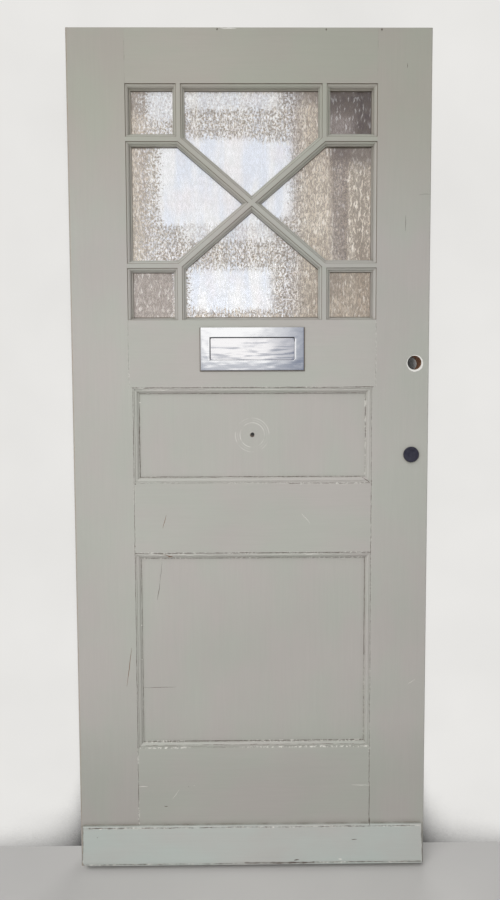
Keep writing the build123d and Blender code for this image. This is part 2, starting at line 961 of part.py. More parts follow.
with BuildPart() as letter_flap:
    with BuildSketch(at_depth(flap_face)):
        with Locations((middle_x, plate_level)):
            RectangleRounded(flap_width, flap_height, plate_opening_corner - flap_gap)
    extrude(amount=-(flap_back - flap_face))
    fillet(letter_flap.faces().sort_by(Axis.Y)[0].edges(), flap_round)
    with BuildSketch(at_depth(flap_back)):
        face_rectangle(
            middle_x - plate_opening_width / 2 - flap_flange,
            middle_x + plate_opening_width / 2 + flap_flange,
            opening_foot - flap_flange,
            opening_top - flap_flange_drop,
        )
    extrude(amount=flap_flange_thickness)
    with BuildSketch(at_depth(flap_back)):
        face_rectangle(
            middle_x - flap_width / 2 + flap_hollow_margin,
            middle_x + flap_width / 2 - flap_hollow_margin,
            opening_foot + flap_hollow_margin,
            pin_z - flap_hollow_drop,
        )
    extrude(amount=flap_hollow_depth, mode=Mode.SUBTRACT)
    for start in (middle_x - barrel_gap / 2 - barrel_length, middle_x + barrel_gap / 2):
        with BuildSketch(Plane.YZ.offset(start)):
            pin_circle(barrel_radius)
            with Locations(((flap_back + pin_y) / 2, pin_z)):
                Rectangle(pin_y - flap_back, 2 * barrel_radius)
            pin_circle(pin_radius + pin_clearance, Mode.SUBTRACT)
        extrude(amount=barrel_length)

with BuildPart() as flap_pin:
    with BuildSketch(Plane.YZ.offset(middle_x - lug_outer)):
        pin_circle(pin_radius)
    extrude(amount=2 * lug_outer)

with BuildPart() as flap_spring:
    with BuildSketch(Plane.YZ.offset(middle_x - spring_length / 2)):
        pin_circle(spring_outer_radius)
        pin_circle(spring_inner_radius, Mode.SUBTRACT)
    extrude(amount=spring_length)
    with BuildSketch(at_depth(flap_back)):
        face_rectangle(
            middle_x + spring_length / 2 - spring_leg,
            middle_x + spring_length / 2,
            pin_z - spring_leg_length,
            pin_z - spring_inner_radius,
        )
    extrude(amount=-spring_leg)

with BuildPart() as letter_plate_bolts:
    with BuildSketch(at_depth(front)):
        with Locations(*boss_places):
            Circle(bolt_radius)
    extrude(amount=-(leaf_thickness + nut_height + bolt_overrun))

with BuildPart() as letter_plate_nuts:
    with BuildSketch(at_depth(back)):
        with Locations(*boss_places):
            RegularPolygon(nut_across_flats / 2, 6, major_radius=False)
            Circle(bolt_radius + screw_clearance, mode=Mode.SUBTRACT)
    extrude(amount=-nut_height)


# Keyhole escutcheons

def countersunk_screw(head_centre, outward, shank, head, length):
    # Slotted countersunk screw whose head is flush at head_centre
    across = outward.cross(Vector(0, 0, 1))
    section_plane = Plane(origin=head_centre, x_dir=across, z_dir=across.cross(outward))
    with BuildPart() as screw:
        with BuildSketch(section_plane):
            with BuildLine():
                Polyline(
                    (0, 0), (head, 0), (shank, shank - head), (shank, -length), (0, -length), close=True
                )
            make_face()
        revolve(axis=Axis(head_centre, outward))
        with BuildSketch(Plane(origin=head_centre, x_dir=across, z_dir=outward)):
            Rectangle(2 * head, screw_slot_width)
        extrude(amount=-screw_slot_depth, mode=Mode.SUBTRACT)
    return screw.part


def screw_seat(plane, shank, head):
    # Countersunk hole for such a screw through a plate that ends at the plane
    with Locations(plane):
        CounterSinkHole(shank + screw_clearance, head + screw_clearance, leaf_thickness, 90)


def escutcheon(face, outward):
    with BuildPart() as disc:
        with BuildSketch(face_at(face, outward, keyhole_x, escutcheon_level)):
            Circle(escutcheon_radius)
        extrude(amount=escutcheon_thickness)
        fillet(disc.faces().sort_by(Axis.Y)[0 if outward == out_front else -1].edges(), escutcheon_round)
        with BuildSketch(face_at(face, outward, keyhole_x, keyhole_level)):
            keyhole_shape()
        extrude(amount=escutcheon_thickness, mode=Mode.SUBTRACT)
    return disc.part


escutcheon_face = front - escutcheon_thickness
inner_escutcheon_face = back + escutcheon_thickness
pivot = (keyhole_x, escutcheon_level + cover_pivot_rise)

with BuildPart() as escutcheon_plate:
    add(escutcheon(front, out_front))
    for x, z in screw_places:
        screw_seat(face_at(escutcheon_face, out_front, x, z), small_screw_radius, small_screw_head)
    with BuildSketch(face_at(front, out_front, *pivot)):
        Circle(rivet_radius + pin_clearance)
    extrude(amount=escutcheon_thickness, mode=Mode.SUBTRACT)

with BuildPart() as inner_escutcheon:
    add(escutcheon(back, out_back))
    for x, z in screw_places:
        screw_seat(face_at(inner_escutcheon_face, out_back, x, z), small_screw_radius, small_screw_head)

cover_back = escutcheon_face - cover_lift
cover_face = cover_back - cover_thickness

with BuildPart() as escutcheon_cover:
    with BuildSketch(face_at(cover_back, out_front, keyhole_x, escutcheon_level)):
        Circle(cover_radius)
    extrude(amount=cover_thickness)
    fillet(escutcheon_cover.faces().sort_by(Axis.Y)[0].edges(), cover_round)
    with BuildSketch(face_at(cover_back, out_front, *pivot)):
        Circle(rivet_radius + pin_clearance)
    extrude(amount=cover_thickness, mode=Mode.SUBTRACT)

with BuildPart() as escutcheon_rivet:
    with BuildSketch(face_at(front, out_front, *pivot)):
        Circle(rivet_radius)
    extrude(amount=front - cover_face + cover_lift)
    with BuildSketch(face_at(cover_face - cover_lift, out_front, *pivot)):
        Circle(rivet_head_radius)
    extrude(amount=rivet_head_height)
    fillet(escutcheon_rivet.faces().sort_by(Axis.Y)[0].edges(), rivet_head_height / 2)

with BuildPart() as escutcheon_screws:
    for face, outward in ((escutcheon_face, out_front), (inner_escutcheon_face, out_back)):
        for x, z in screw_places:
            add(
                countersunk_screw(
                    Vector(x, face, z), outward, small_screw_radius, small_screw_head, small_screw_length
                )
            )


# Mortice lock

stump_x = right - deadbolt_head - stump_setback

with BuildPart() as lock_case:
    with BuildSketch(Plane.YZ.offset(case_back)):
        with Locations((0, case_level)):
            Rectangle(case_thickness, case_height)
    extrude(amount=case_depth)
    with BuildSketch(Plane.YZ.offset(case_back + case_wall)):
        with Locations((0, case_level)):
            Rectangle(case_thickness - 2 * case_wall, case_height - 2 * case_wall)
    extrude(amount=case_depth - 2 * case_wall, mode=Mode.SUBTRACT)
    with BuildSketch(Plane.YZ.offset(case_front)):
        with Locations((0, case_level)):
            Rectangle(forend_width, forend_height)
    extrude(amount=forend_thickness)
    with BuildSketch(Plane.YZ.offset(case_front - case_wall)):
        with Locations((0, deadbolt_level)):
            Rectangle(
                deadbolt_thickness + 2 * deadbolt_clearance, deadbolt_height + 2 * deadbolt_clearance
            )
    extrude(amount=case_wall + forend_thickness, mode=Mode.SUBTRACT)
    with BuildSketch(at_depth(-case_thickness / 2)):
        with Locations((stump_x, deadbolt_level)):
            Circle(stump_radius)
    extrude(amount=-case_thickness)
    with BuildSketch(face_at(-case_thickness / 2, out_front, keyhole_x, keyhole_level)):
        keyhole_shape()
    extrude(amount=-case_thickness, mode=Mode.SUBTRACT)
    for level in forend_screw_levels:
        forend_seat = Plane(origin=(right, 0, level), x_dir=(0, 1, 0), z_dir=(1, 0, 0))
        screw_seat(forend_seat, forend_screw_radius, forend_screw_head)

with BuildPart() as deadbolt:
    with BuildSketch(Plane.YZ.offset(right - deadbolt_head)):
        with Locations((0, deadbolt_level)):
            Rectangle(deadbolt_thickness, deadbolt_height)
    extrude(amount=deadbolt_head)
    with BuildSketch(Plane.YZ.offset(right - deadbolt_head - deadbolt_tail)):
        with Locations((0, deadbolt_level)):
            Rectangle(deadbolt_tail_thickness, deadbolt_height)
    extrude(amount=deadbolt_tail)
    with BuildSketch(at_depth(-deadbolt_thickness / 2)):
        slot_reach = stump_radius + stump_clearance
        with Locations((stump_x - deadbolt_throw / 2, deadbolt_level)):
            SlotOverall(deadbolt_throw + 2 * slot_reach, 2 * slot_reach)
    extrude(amount=-deadbolt_thickness, mode=Mode.SUBTRACT)

with BuildPart() as forend_screws:
    for level in forend_screw_levels:
        add(
            countersunk_screw(
                Vector(right, 0, level),
                Vector(1, 0, 0),
                forend_screw_radius,
                forend_screw_head,
                forend_screw_length,
            )
        )


# Every piece under its own name

pieces = {
    "hinge_stile": hinge_stile.part,
    "lock_stile": lock_stile.part,
    "top_rail": top_rail.part,
    "letter_rail": letter_rail.part,
    "middle_rail": middle_rail.part,
    "bottom_rail": bottom_rail.part,
    "tenon_wedges": tenon_wedges.part,
    "upper_panel": upper_panel.part,
    "lower_panel": lower_panel_board,
    "falling_diagonal_bar": falling_bar.part,
    "rising_diagonal_bar": rising_bar.part,
    "weatherboard": weatherboard.part,
    "letter_plate": letter_plate.part,
    "letter_flap": letter_flap.part,
    "flap_pin": flap_pin.part,
    "flap_spring": flap_spring.part,
    "letter_plate_bolts": letter_plate_bolts.part,
    "letter_plate_nuts": letter_plate_nuts.part,
    "escutcheon_plate": escutcheon_plate.part,
    "inner_escutcheon": inner_escutcheon.part,
    "escutcheon_cover": escutcheon_cover.part,
    "escutcheon_rivet": escutcheon_rivet.part,
    "escutcheon_screws": escutcheon_screws.part,
    "lock_case": lock_case.part,
    "deadbolt": deadbolt.part,
    "forend_screws": forend_screws.part,
}

for panel, (low, high) in zip(("upper", "lower"), panel_levels):
    opening = panel_opening(low, high)
    front_lengths = mitred_lengths(
        opening, moulding_width, panel_front, out_front, front_moulding_section
    )
    for side, length in zip(("bottom", "right", "top", "left"), front_lengths):
        pieces[f"{panel}_panel_{side}_moulding"] = length
    back_lengths = mitred_lengths(
        opening, back_moulding_width, tongue_back, out_back, back_moulding_section
    )
    pieces[f"{panel}_panel_back_mouldings"] = gathered(back_lengths)

for place, junction in junctions.items():
    level_foot, upright_foot = junction_feet(place)
    pieces[f"{place}_level_bar"] = short_bar(level_foot, junction, upright_foot)
    pieces[f"{place}_upright_bar"] = short_bar(upright_foot, junction, level_foot)

for place, corners in pane_corners.items():
    outline = rebate_outline(corners)
    pieces[f"{place}_pane"] = pane(outline)
    bead_lengths = mitred_lengths(outline, bead_width, glass_back, out_back, bead_section)
    pieces[f"{place}_pane_beads"] = gathered(bead_lengths)

os.makedirs("parts", exist_ok=True)
for name, piece in pieces.items():
    piece.label = name
    export_step(piece, f"parts/{name}.step")
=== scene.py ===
import bpy
import json
import math
from mathutils import Matrix, Vector


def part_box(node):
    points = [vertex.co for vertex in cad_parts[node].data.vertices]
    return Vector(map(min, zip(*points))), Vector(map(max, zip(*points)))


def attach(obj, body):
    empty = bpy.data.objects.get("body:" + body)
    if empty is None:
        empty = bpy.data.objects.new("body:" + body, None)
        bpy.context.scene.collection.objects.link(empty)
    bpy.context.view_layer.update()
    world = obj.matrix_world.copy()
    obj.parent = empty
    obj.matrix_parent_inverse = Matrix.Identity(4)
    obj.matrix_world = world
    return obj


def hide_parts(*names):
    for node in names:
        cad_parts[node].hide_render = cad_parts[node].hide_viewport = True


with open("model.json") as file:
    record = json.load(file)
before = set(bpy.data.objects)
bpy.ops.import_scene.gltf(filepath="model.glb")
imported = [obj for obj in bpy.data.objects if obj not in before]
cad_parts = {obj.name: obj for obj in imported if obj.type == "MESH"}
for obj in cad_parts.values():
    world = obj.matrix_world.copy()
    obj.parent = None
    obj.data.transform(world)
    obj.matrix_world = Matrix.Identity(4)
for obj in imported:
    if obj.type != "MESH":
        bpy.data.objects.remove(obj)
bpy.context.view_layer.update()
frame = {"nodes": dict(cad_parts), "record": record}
nodes = frame["nodes"]
print("frame loaded")

# the camera stands where the photograph was taken, in metres and degrees
camera = {
    "place": (-0.0166, -1.587, 1.1122),
    "down": 3.4526,
    "aside": 0.5174,
    "roll": -0.2347,
    "focal": 663.6,  # in pixels
    "frame": (500, 900),
    "sensor": 36,  # in millimetres
}


def linked(name, data):
    thing = bpy.data.objects.new(name, data)
    bpy.context.scene.collection.objects.link(thing)
    return thing


def placeCamera():
    data = bpy.data.cameras.new("camera")
    thing = linked("camera", data)
    down, aside, roll = (math.radians(camera[key]) for key in ("down", "aside", "roll"))
    forward = Vector((math.sin(aside) * math.cos(down), math.cos(aside) * math.cos(down), -math.sin(down)))
    level = Vector((math.cos(aside), -math.sin(aside), 0))
    upright = level.cross(forward)
    right = level * math.cos(roll) + upright * math.sin(roll)
    up = upright * math.cos(roll) - level * math.sin(roll)
    place = camera["place"]
    rows = [(right[k], up[k], -forward[k], place[k]) for k in range(3)]
    thing.matrix_world = Matrix(rows + [(0, 0, 0, 1)])
    data.sensor_width = camera["sensor"]
    data.lens = camera["focal"] / max(camera["frame"]) * camera["sensor"]
    bpy.context.scene.camera = thing


placeCamera()

# the room: a pale floor and wall, soft daylight from above in front, a large soft lamp and a weak one behind
white = (1, 1, 1, 1)
studio = {
    "floorColour": (0.55, 0.54, 0.525, 1),
    "wallColour": (0.80, 0.79, 0.77, 1),
    "span": 12,
    "wallBehind": 0.052,
    "wallShade": (0.32, 0.62, 0.06, 1.0),  # how the wall darkens as a painted shadow where it is closed in: openness and share
    "wallShadeReach": 0.22,
    "lamps": {  # kind, place, target, power, and how wide it is in metres or degrees
        "key": ("AREA", (-0.32, -1.66, 1.20), (-0.05, 0, 1.15), 16.3, 1.1),
        "sky": ("SUN", (-0.45, -1.00, 1.25), (0, 0, 0), 1.42, 50),
        "back": ("AREA", (0.8, 3.2, 2.6), (0, 0, 1.0), 38, 2.0),
    },
    "daylight": 0.22,
    "backdrop": (0.9, 0.9, 0.9, 1),
    "mirrorDark": (0.12, 0.15, 0.23, 1),  # what the plate mirrors low down and to the right
    "mirrorGround": (0.10, 0.092, 0.085, 1),  # what it mirrors steeply down or far to the right
    "mirrorLeft": (0.50, 0.505, 0.52, 1),  # and far to the left
    # where the mirrored daylight fades: axis of the way it comes, from, to, share at each, and whether softly
    "mirrorFades": (
        (2, 0.066, 0.080, 0.48, 1.0, True),
        (2, -0.15, 0.03, 0.0, 1.0),
        (0, 0.034, 0.046, 1.0, 0.62, True),
        (0, 0.060, 0.085, 1.0, 0.45),
        (0, 0.10, 0.24, 1.0, 0.0),
    ),
    "cornerFades": ((0, -0.063, -0.057, 0.30, 0), (2, 0.112, 0.102)),
    "leftFade": (-0.25, -0.45, 0.0, 0.8),
    "groundFades": ((2, -0.25, -0.55), (0, 0.35, 0.65)),
}


# shader helpers
def put(tree, kind, wires=None, **settings):
    # a wire is a socket of another node, or a plain value to set
    made = tree.nodes.new(kind)
    for name, value in settings.items():
        setattr(made, name, value)
    for socket, value in (wires or {}).items():
        if isinstance(value, bpy.types.NodeSocket):
            tree.links.new(value, made.inputs[socket])
        else:
            made.inputs[socket].default_value = value
    return made


def sums(tree, operation, *values):
    return put(tree, "ShaderNodeMath", dict(enumerate(values)), operation=operation).outputs[0]


def product(tree, first, *others):
    for other in others:
        first = sums(tree, "MULTIPLY", first, other)
    return first


def moves(tree, operation, first, second):
    # vector arithmetic; a scale takes its number in the fourth socket
    wires = {0: first, (3 if operation == "SCALE" else 1): second}
    made = put(tree, "ShaderNodeVectorMath", wires, operation=operation)
    return made.outputs["Value" if operation in ("DOT_PRODUCT", "DISTANCE", "LENGTH") else 0]


def held(tree, value, low, high, newLow=0.0, newHigh=1.0, soft=False):
    # carries a value from one range to another and holds it there
    wires = {"Value": value, "From Min": low, "From Max": high, "To Min": newLow, "To Max": newHigh}
    kind = "SMOOTHSTEP" if soft else "LINEAR"
    return put(tree, "ShaderNodeMapRange", wires, interpolation_type=kind).outputs["Result"]


def mixed(tree, amount, first, second, blend="MIX"):
    wires = {0: amount, 6: first, 7: second}
    return put(tree, "ShaderNodeMix", wires, data_type="RGBA", blend_type=blend).outputs[2]


def speckle(tree, place, scale, detail, roughness=0.5):
    wires = {"Vector": place, "Scale": scale, "Detail": detail, "Roughness": roughness}
    return put(tree, "ShaderNodeTexNoise", wires).outputs[0]


def grained(tree, place, scales, detail, roughness=0.5):
    # noise with a scale of its own along each axis
    return speckle(tree, moves(tree, "MULTIPLY", place, scales), 1.0, detail, roughness)


def flattened(tree, place):
    # the place as seen from in front
    return moves(tree, "MULTIPLY", place, (1, 0, 1))


def shiver(tree, place, scale, reach):
    # a vector that wanders about zero
    noise = put(tree, "ShaderNodeTexNoise", {"Vector": place, "Scale": scale, "Detail": 2.0}).outputs[1]
    return moves(tree, "SCALE", moves(tree, "SUBTRACT", noise, (0.5, 0.5, 0.5)), reach)


def split(tree, place):
    return put(tree, "ShaderNodeSeparateXYZ", {0: place}).outputs


def layered(tree, share, first, second):
    return put(tree, "ShaderNodeMixShader", {0: share, 1: first, 2: second}).outputs[0]


def glow(tree, kind, colour, strength=1.0):
    return put(tree, kind, {"Color": colour, "Strength": strength}).outputs[0]


def newGroup(name, takes):
    # the kind of an input follows from its starting value
    group = bpy.data.node_groups.new(name, "ShaderNodeTree")
    for label, start in takes.items():
        kind = {3: "Vector", 4: "Color"}[len(start)] if isinstance(start, tuple) else "Float"
        group.interface.new_socket(label, in_out="INPUT", socket_type="NodeSocket" + kind).default_value = start
    return group, group.nodes.new("NodeGroupInput").outputs


def give(group, **values):
    for label, value in values.items():
        kind = label if label == "Color" else {"VALUE": "Float", "VECTOR": "Vector"}[value.type]
        group.interface.new_socket(label, in_out="OUTPUT", socket_type="NodeSocket" + kind)
    outside = group.nodes.new("NodeGroupOutput").inputs
    for label, value in values.items():
        group.links.new(value, outside[label])
    return group


def use(tree, group, wires):
    return put(tree, "ShaderNodeGroup", wires, node_tree=group).outputs


def newMaterial(name):
    material = bpy.data.materials.new(name)
    material.use_nodes = True
    tree = material.node_tree
    shader = tree.nodes["Principled BSDF"]
    place = tree.nodes.new("ShaderNodeTexCoord").outputs["Object"]
    return material, tree, shader, place


def dress(thing, material):
    # the material takes the place of every slot of the piece
    if not thing.data.materials:
        thing.data.materials.append(material)
    for slot in thing.material_slots:
        slot.link = "OBJECT"
        slot.material = material


def surface(tree, shader, colour, roughness, height, bump, normal=None):
    # the bump is given by its strength and reach
    wires = {"Height": height, "Strength": bump[0], "Distance": bump[1]}
    if normal is not None:
        wires["Normal"] = normal
    bumped = put(tree, "ShaderNodeBump", wires).outputs[0]
    for value, socket in ((colour, "Base Color"), (roughness, "Roughness"), (bumped, "Normal")):
        tree.links.new(value, shader.inputs[socket])


def paintCoatGroup():
    # brushed paint over timber whose grain runs along the place's Z
    starts = {"Place": (0, 0, 0), "Tone": (0.4, 0.4, 0.35, 1), "Cast": white}
    group, takes = newGroup("paintCoat", starts)
    place = takes["Place"]
    broad = speckle(group, place, 2.6, 2)
    patches = grained(group, place, (9, 9, 5), 3)
    strokes = grained(group, place, (330, 330, 9), 3, 0.6)
    grain = grained(group, place, (120, 120, 3), 4, 0.7)
    peel = speckle(group, place, 700, 1)
    warm = mixed(group, held(group, patches, 0.38, 0.62), takes["Tone"], takes["Cast"])
    light = product(group, held(group, broad, 0.3, 0.7, 0.97, 1.03), held(group, strokes, 0.25, 0.75, 0.98, 1.02))
    height = sums(group, "ADD", strokes, product(group, grain, 0.6))
    height = sums(group, "ADD", height, product(group, peel, 0.12))
    colour = moves(group, "SCALE", warm, light)
    roughness = held(group, patches, 0.3, 0.7, 0.42, 0.52)
    return give(group, Color=colour, Roughness=roughness, Height=height)


def weatheringGroup():
    # uneven values over the face, which all the marks of a piece share
    group, takes = newGroup("weathering", {"Place": (0, 0, 0)})
    flat = flattened(group, takes["Place"])
    return give(
        group,
        Wander=held(group, speckle(group, flat, 26, 3), 0.3, 0.7, -0.0008, 0.0008),
        Swell=held(group, speckle(group, flat, 70, 1), 0.3, 0.7, 0.5, 1.45),
        Breaks=speckle(group, flat, 33, 4, 0.7),
        Depth=held(group, speckle(group, flat, 14, 2), 0.35, 0.65, 0.62, 1.0),
        Chips=held(group, speckle(group, flat, 150, 3, 0.65), 0.49, 0.55),
        Patches=held(group, speckle(group, flat, 9, 2), 0.38, 0.54),
        Ripple=flattened(group, shiver(group, flat, 60.0, 0.004)),
    )


def crackLineGroup():
    # a broken hairline between two pieces, and the paint that lifts and flakes beside it
    line = {"Across": 0.0, "Along": 0.0, "Start": 0.0, "End": 1.0, "Width": 0.001}
    state = {"Whole": 0.5, "Flaking": 0.0, "Breaks": 0.5, "Patches": 0.5}
    group, takes = newGroup("crackLine", line | state)
    gap = sums(group, "ABSOLUTE", takes["Across"])
    core = held(group, sums(group, "DIVIDE", gap, takes["Width"]), 0.3, 1.0, 1.0, 0.0, soft=True)
    threshold = held(group, takes["Whole"], 0.0, 1.0, 0.68, 0.28)
    unbroken = held(group, sums(group, "SUBTRACT", takes["Breaks"], threshold), -0.08, 0.12)
    after = held(group, sums(group, "SUBTRACT", takes["Along"], takes["Start"]), -0.001, 0.001)
    before = held(group, sums(group, "SUBTRACT", takes["End"], takes["Along"]), -0.001, 0.001)
    inside = product(group, after, before)
    near = held(group, gap, 0.0008, 0.0028, 1.0, 0.0, soft=True)
    flakes = product(group, near, takes["Patches"], inside, takes["Flaking"])
    return give(group, Dark=product(group, core, unbroken, inside), Light=flakes)


def scratchMarkGroup():
    # a thin wavering scratch from one point of the face to another
    starts = {"Place": (0, 0, 0), "From": (0, 0, 0), "To": (0, 0, 1), "Width": 0.001}
    group, takes = newGroup("scratchMark", starts)
    reach = moves(group, "SUBTRACT", takes["Place"], takes["From"])
    run = moves(group, "SUBTRACT", takes["To"], takes["From"])
    share = sums(group, "DIVIDE", moves(group, "DOT_PRODUCT", reach, run), moves(group, "DOT_PRODUCT", run, run))
    share = held(group, share, 0.0, 1.0)
    away = moves(group, "DISTANCE", reach, moves(group, "SCALE", run, share))
    middle = sums(group, "ABSOLUTE", sums(group, "SUBTRACT", share, 0.5))
    width = product(group, takes["Width"], held(group, middle, 0.0, 0.5, 1.0, 0.35))
    return give(group, Mask=held(group, sums(group, "DIVIDE", away, width), 0.4, 1.0, 1.0, 0.0, soft=True))


def ringMarkGroup():
    # the distance from an axis through the leaf, and a broken ring at a radius
    starts = {"Place": (0, 0, 0), "Middle": (0, 0, 0), "Radius": 0.03, "Width": 0.001}
    group, takes = newGroup("ringMark", starts)
    flat = flattened(group, moves(group, "SUBTRACT", takes["Place"], takes["Middle"]))
    away = moves(group, "LENGTH", flat, (0, 0, 0))
    off = sums(group, "ABSOLUTE", sums(group, "SUBTRACT", away, takes["Radius"]))
    line = held(group, sums(group, "DIVIDE", off, takes["Width"]), 0.3, 1.0, 1.0, 0.0, soft=True)
    broken = held(group, speckle(group, takes["Place"], 42, 2), 0.42, 0.60, 0.05, 1.0)
    return give(group, Distance=away, Ring=product(group, line, broken))


def edgeWearAndCreaseShadeGroup():
    # chips along arrises, from how far the rounded normal leaves the flat one, and dirt in the quirks that also stands
    # in as painted shade where ambient occlusion finds them closed in
    starts = {"Place": (0, 0, 0), "Rounded": (0, 0, 1), "Flat": (0, 0, 1), "Open": 1.0, "Wear": 0.5}
    group, takes = newGroup("edgeWearAndCreaseShade", starts)
    same = moves(group, "DOT_PRODUCT", takes["Rounded"], takes["Flat"])
    edge = product(group, held(group, same, 0.90, 0.995, 1.0, 0.0), held(group, takes["Open"], 0.80, 0.95))
    noise = speckle(group, takes["Place"], 85, 4, 0.65)
    limit = held(group, takes["Wear"], 0.0, 1.0, 0.72, 0.42)
    chips = held(group, sums(group, "SUBTRACT", noise, limit), 0.0, 0.04)
    # painted shade with dirt: darker where ambient occlusion finds the surface closed in
    closed = held(group, takes["Open"], 0.40, 0.92, 1.0, 0.0)
    patchy = held(group, speckle(group, takes["Place"], 30, 3), 0.35, 0.65, 0.35, 1.0)
    return give(group, Chips=product(group, edge, chips), Dirt=product(group, closed, patchy))


paintCoat = paintCoatGroup()
weathering = weatheringGroup()
crackLine = crackLineGroup()
scratchMark = scratchMarkGroup()
ringMark = ringMarkGroup()
edgeWearAndCreaseShade = edgeWearAndCreaseShadeGroup()
print("shader groups made")

# the painted timber: colours as they render, and how strongly it is worn
paint = {
    "tone": (0.418, 0.422, 0.382, 1),
    "cast": (0.433, 0.412, 0.386, 1),
    # undercoat, also the colour of painted highlights along the moulding flats
    "undercoatAndHighlight": (0.74, 0.73, 0.68, 1),
    # dark dirt for cracks and marks, also the colour of the painted shadow under the letter plate
    "dirtAndShadow": (0.105, 0.082, 0.066, 1),
    # grime that also serves as painted shade in the quirks and corners
    "grimeAndShade": (0.17, 0.155, 0.12, 1),
    # dust that also serves as painted shade on the sticking beside the glass
    "dustAndShade": (0.135, 0.108, 0.078, 1),
    "wood": (0.20, 0.125, 0.078, 1),
    # the weatherboard's greener paint, made lighter as painted light for its sloping face under the light from above
    "boardLitTone": (0.450, 0.485, 0.455, 1),
    "boardLitCast": (0.450, 0.450, 0.425, 1),
    "topTint": (0.95, 0.945, 0.895, 1),  # how the top of the leaf is tinted yellower and a little darker, and from where to where
    "topTintRise": (1.50, 1.80),
    "footShade": (0.935, 0.935, 0.93, 1),  # and its foot, darkened as painted shade
    "footShadeRise": (0.36, 0.22),
    "diagonal": 49.7,  # degrees from upright
    "front": (-0.0100, -0.0080, 1.0, 0.0),  # the depths between which the marks end
    "marks": (("undercoatAndHighlight", 0.9), ("wood", 1.2), ("dirtAndShadow", 2.2)),  # in the order they lie, and how deep
    "chipDepth": 0.8,
    "wear": 0.35,
    "boardWear": 1.6,  # times as much
    "bump": (0.30, 0.0004),
    "rounding": 0.0005,
    "grimeAndShadeReach": 0.014,
    "grimeAndShadeShare": 0.85,
}

# cracks in millimetres: which way they run, their place, start, end, width, how whole and how flaked they are
cracks = [
    ("up", -286, 1165, 1322, 0.55, 0.6, 0.3),
    ("up", 294, 1165, 1322, 0.55, 0.55, 0.3),
    ("up", -286, 1858, 1981, 0.5, 0.4, 0.0),
    ("up", 294, 1858, 1981, 0.45, 0.3, 0.0),
    ("up", -277, 940, 1165, 0.8, 0.95, 0.2),
    ("up", -263.5, 953, 1118, 0.9, 0.95, 0.2),
    ("up", 271.5, 1046, 1140, 0.9, 0.6, 1.0),
    ("up", 271.5, 953, 1046, 0.5, 0.3, 0.4),
    ("up", 285, 940, 1165, 0.6, 0.8, 0.2),
    ("along", 1165, -279, 289, 1.3, 0.85, 0.6),
    ("along", 1151.5, -263.5, 271.5, 0.9, 1.0, 0.2),
    ("along", 953.5, -263.5, 271.5, 0.9, 0.95, 0.3),
    ("along", 940, -263, 90, 0.6, 0.5, 0.3),
    ("along", 938, 90, 280, 0.9, 0.8, 0.8),
    ("up", -277, 772, 940, 0.8, 0.75, 0.3),
    ("up", 285, 772, 945, 1.0, 0.95, 0.5),
    ("along", 772, -277, 285, 1.4, 0.85, 1.0),
    ("along", 758.5, -263.5, 271.5, 0.8, 0.75, 0.7),
    ("up", -277, 294, 772, 0.8, 0.95, 0.2),
    ("up", -263.5, 307, 758, 0.45, 0.6, 0.2),
    ("up", 271.5, 520, 758, 0.7, 0.9, 0.1),
    ("up", 271.5, 307, 520, 0.4, 0.45, 0.3),
    ("up", 285, 294, 772, 0.6, 0.7, 0.3),
    ("along", 307.5, -263.5, 271.5, 0.7, 0.75, 1.0),
    ("along", 300.5, -258, 276, 0.9, 0.6, 0.0),
    ("along", 295, -277, 285, 0.8, 0.25, 1.0),
    ("up", -277, 102, 294, 0.8, 0.8, 0.8),
    ("up", 285, 102, 294, 1.1, 0.95, 0.7),
    ("along", 98.5, -412, 412, 1.9, 0.6, 1.0),
    ("along", 16, -404, -20, 1.5, 0.6, 0.6),
    ("along", 17, -20, 150, 2.8, 0.85, 0.4),
    ("along", 17, 150, 408, 1.8, 0.75, 1.0),
    ("up", 411, 16, 98, 1.2, 0.8, 0.5),
    ("up", -411, 16, 98, 1.2, 0.7, 0.5),
]

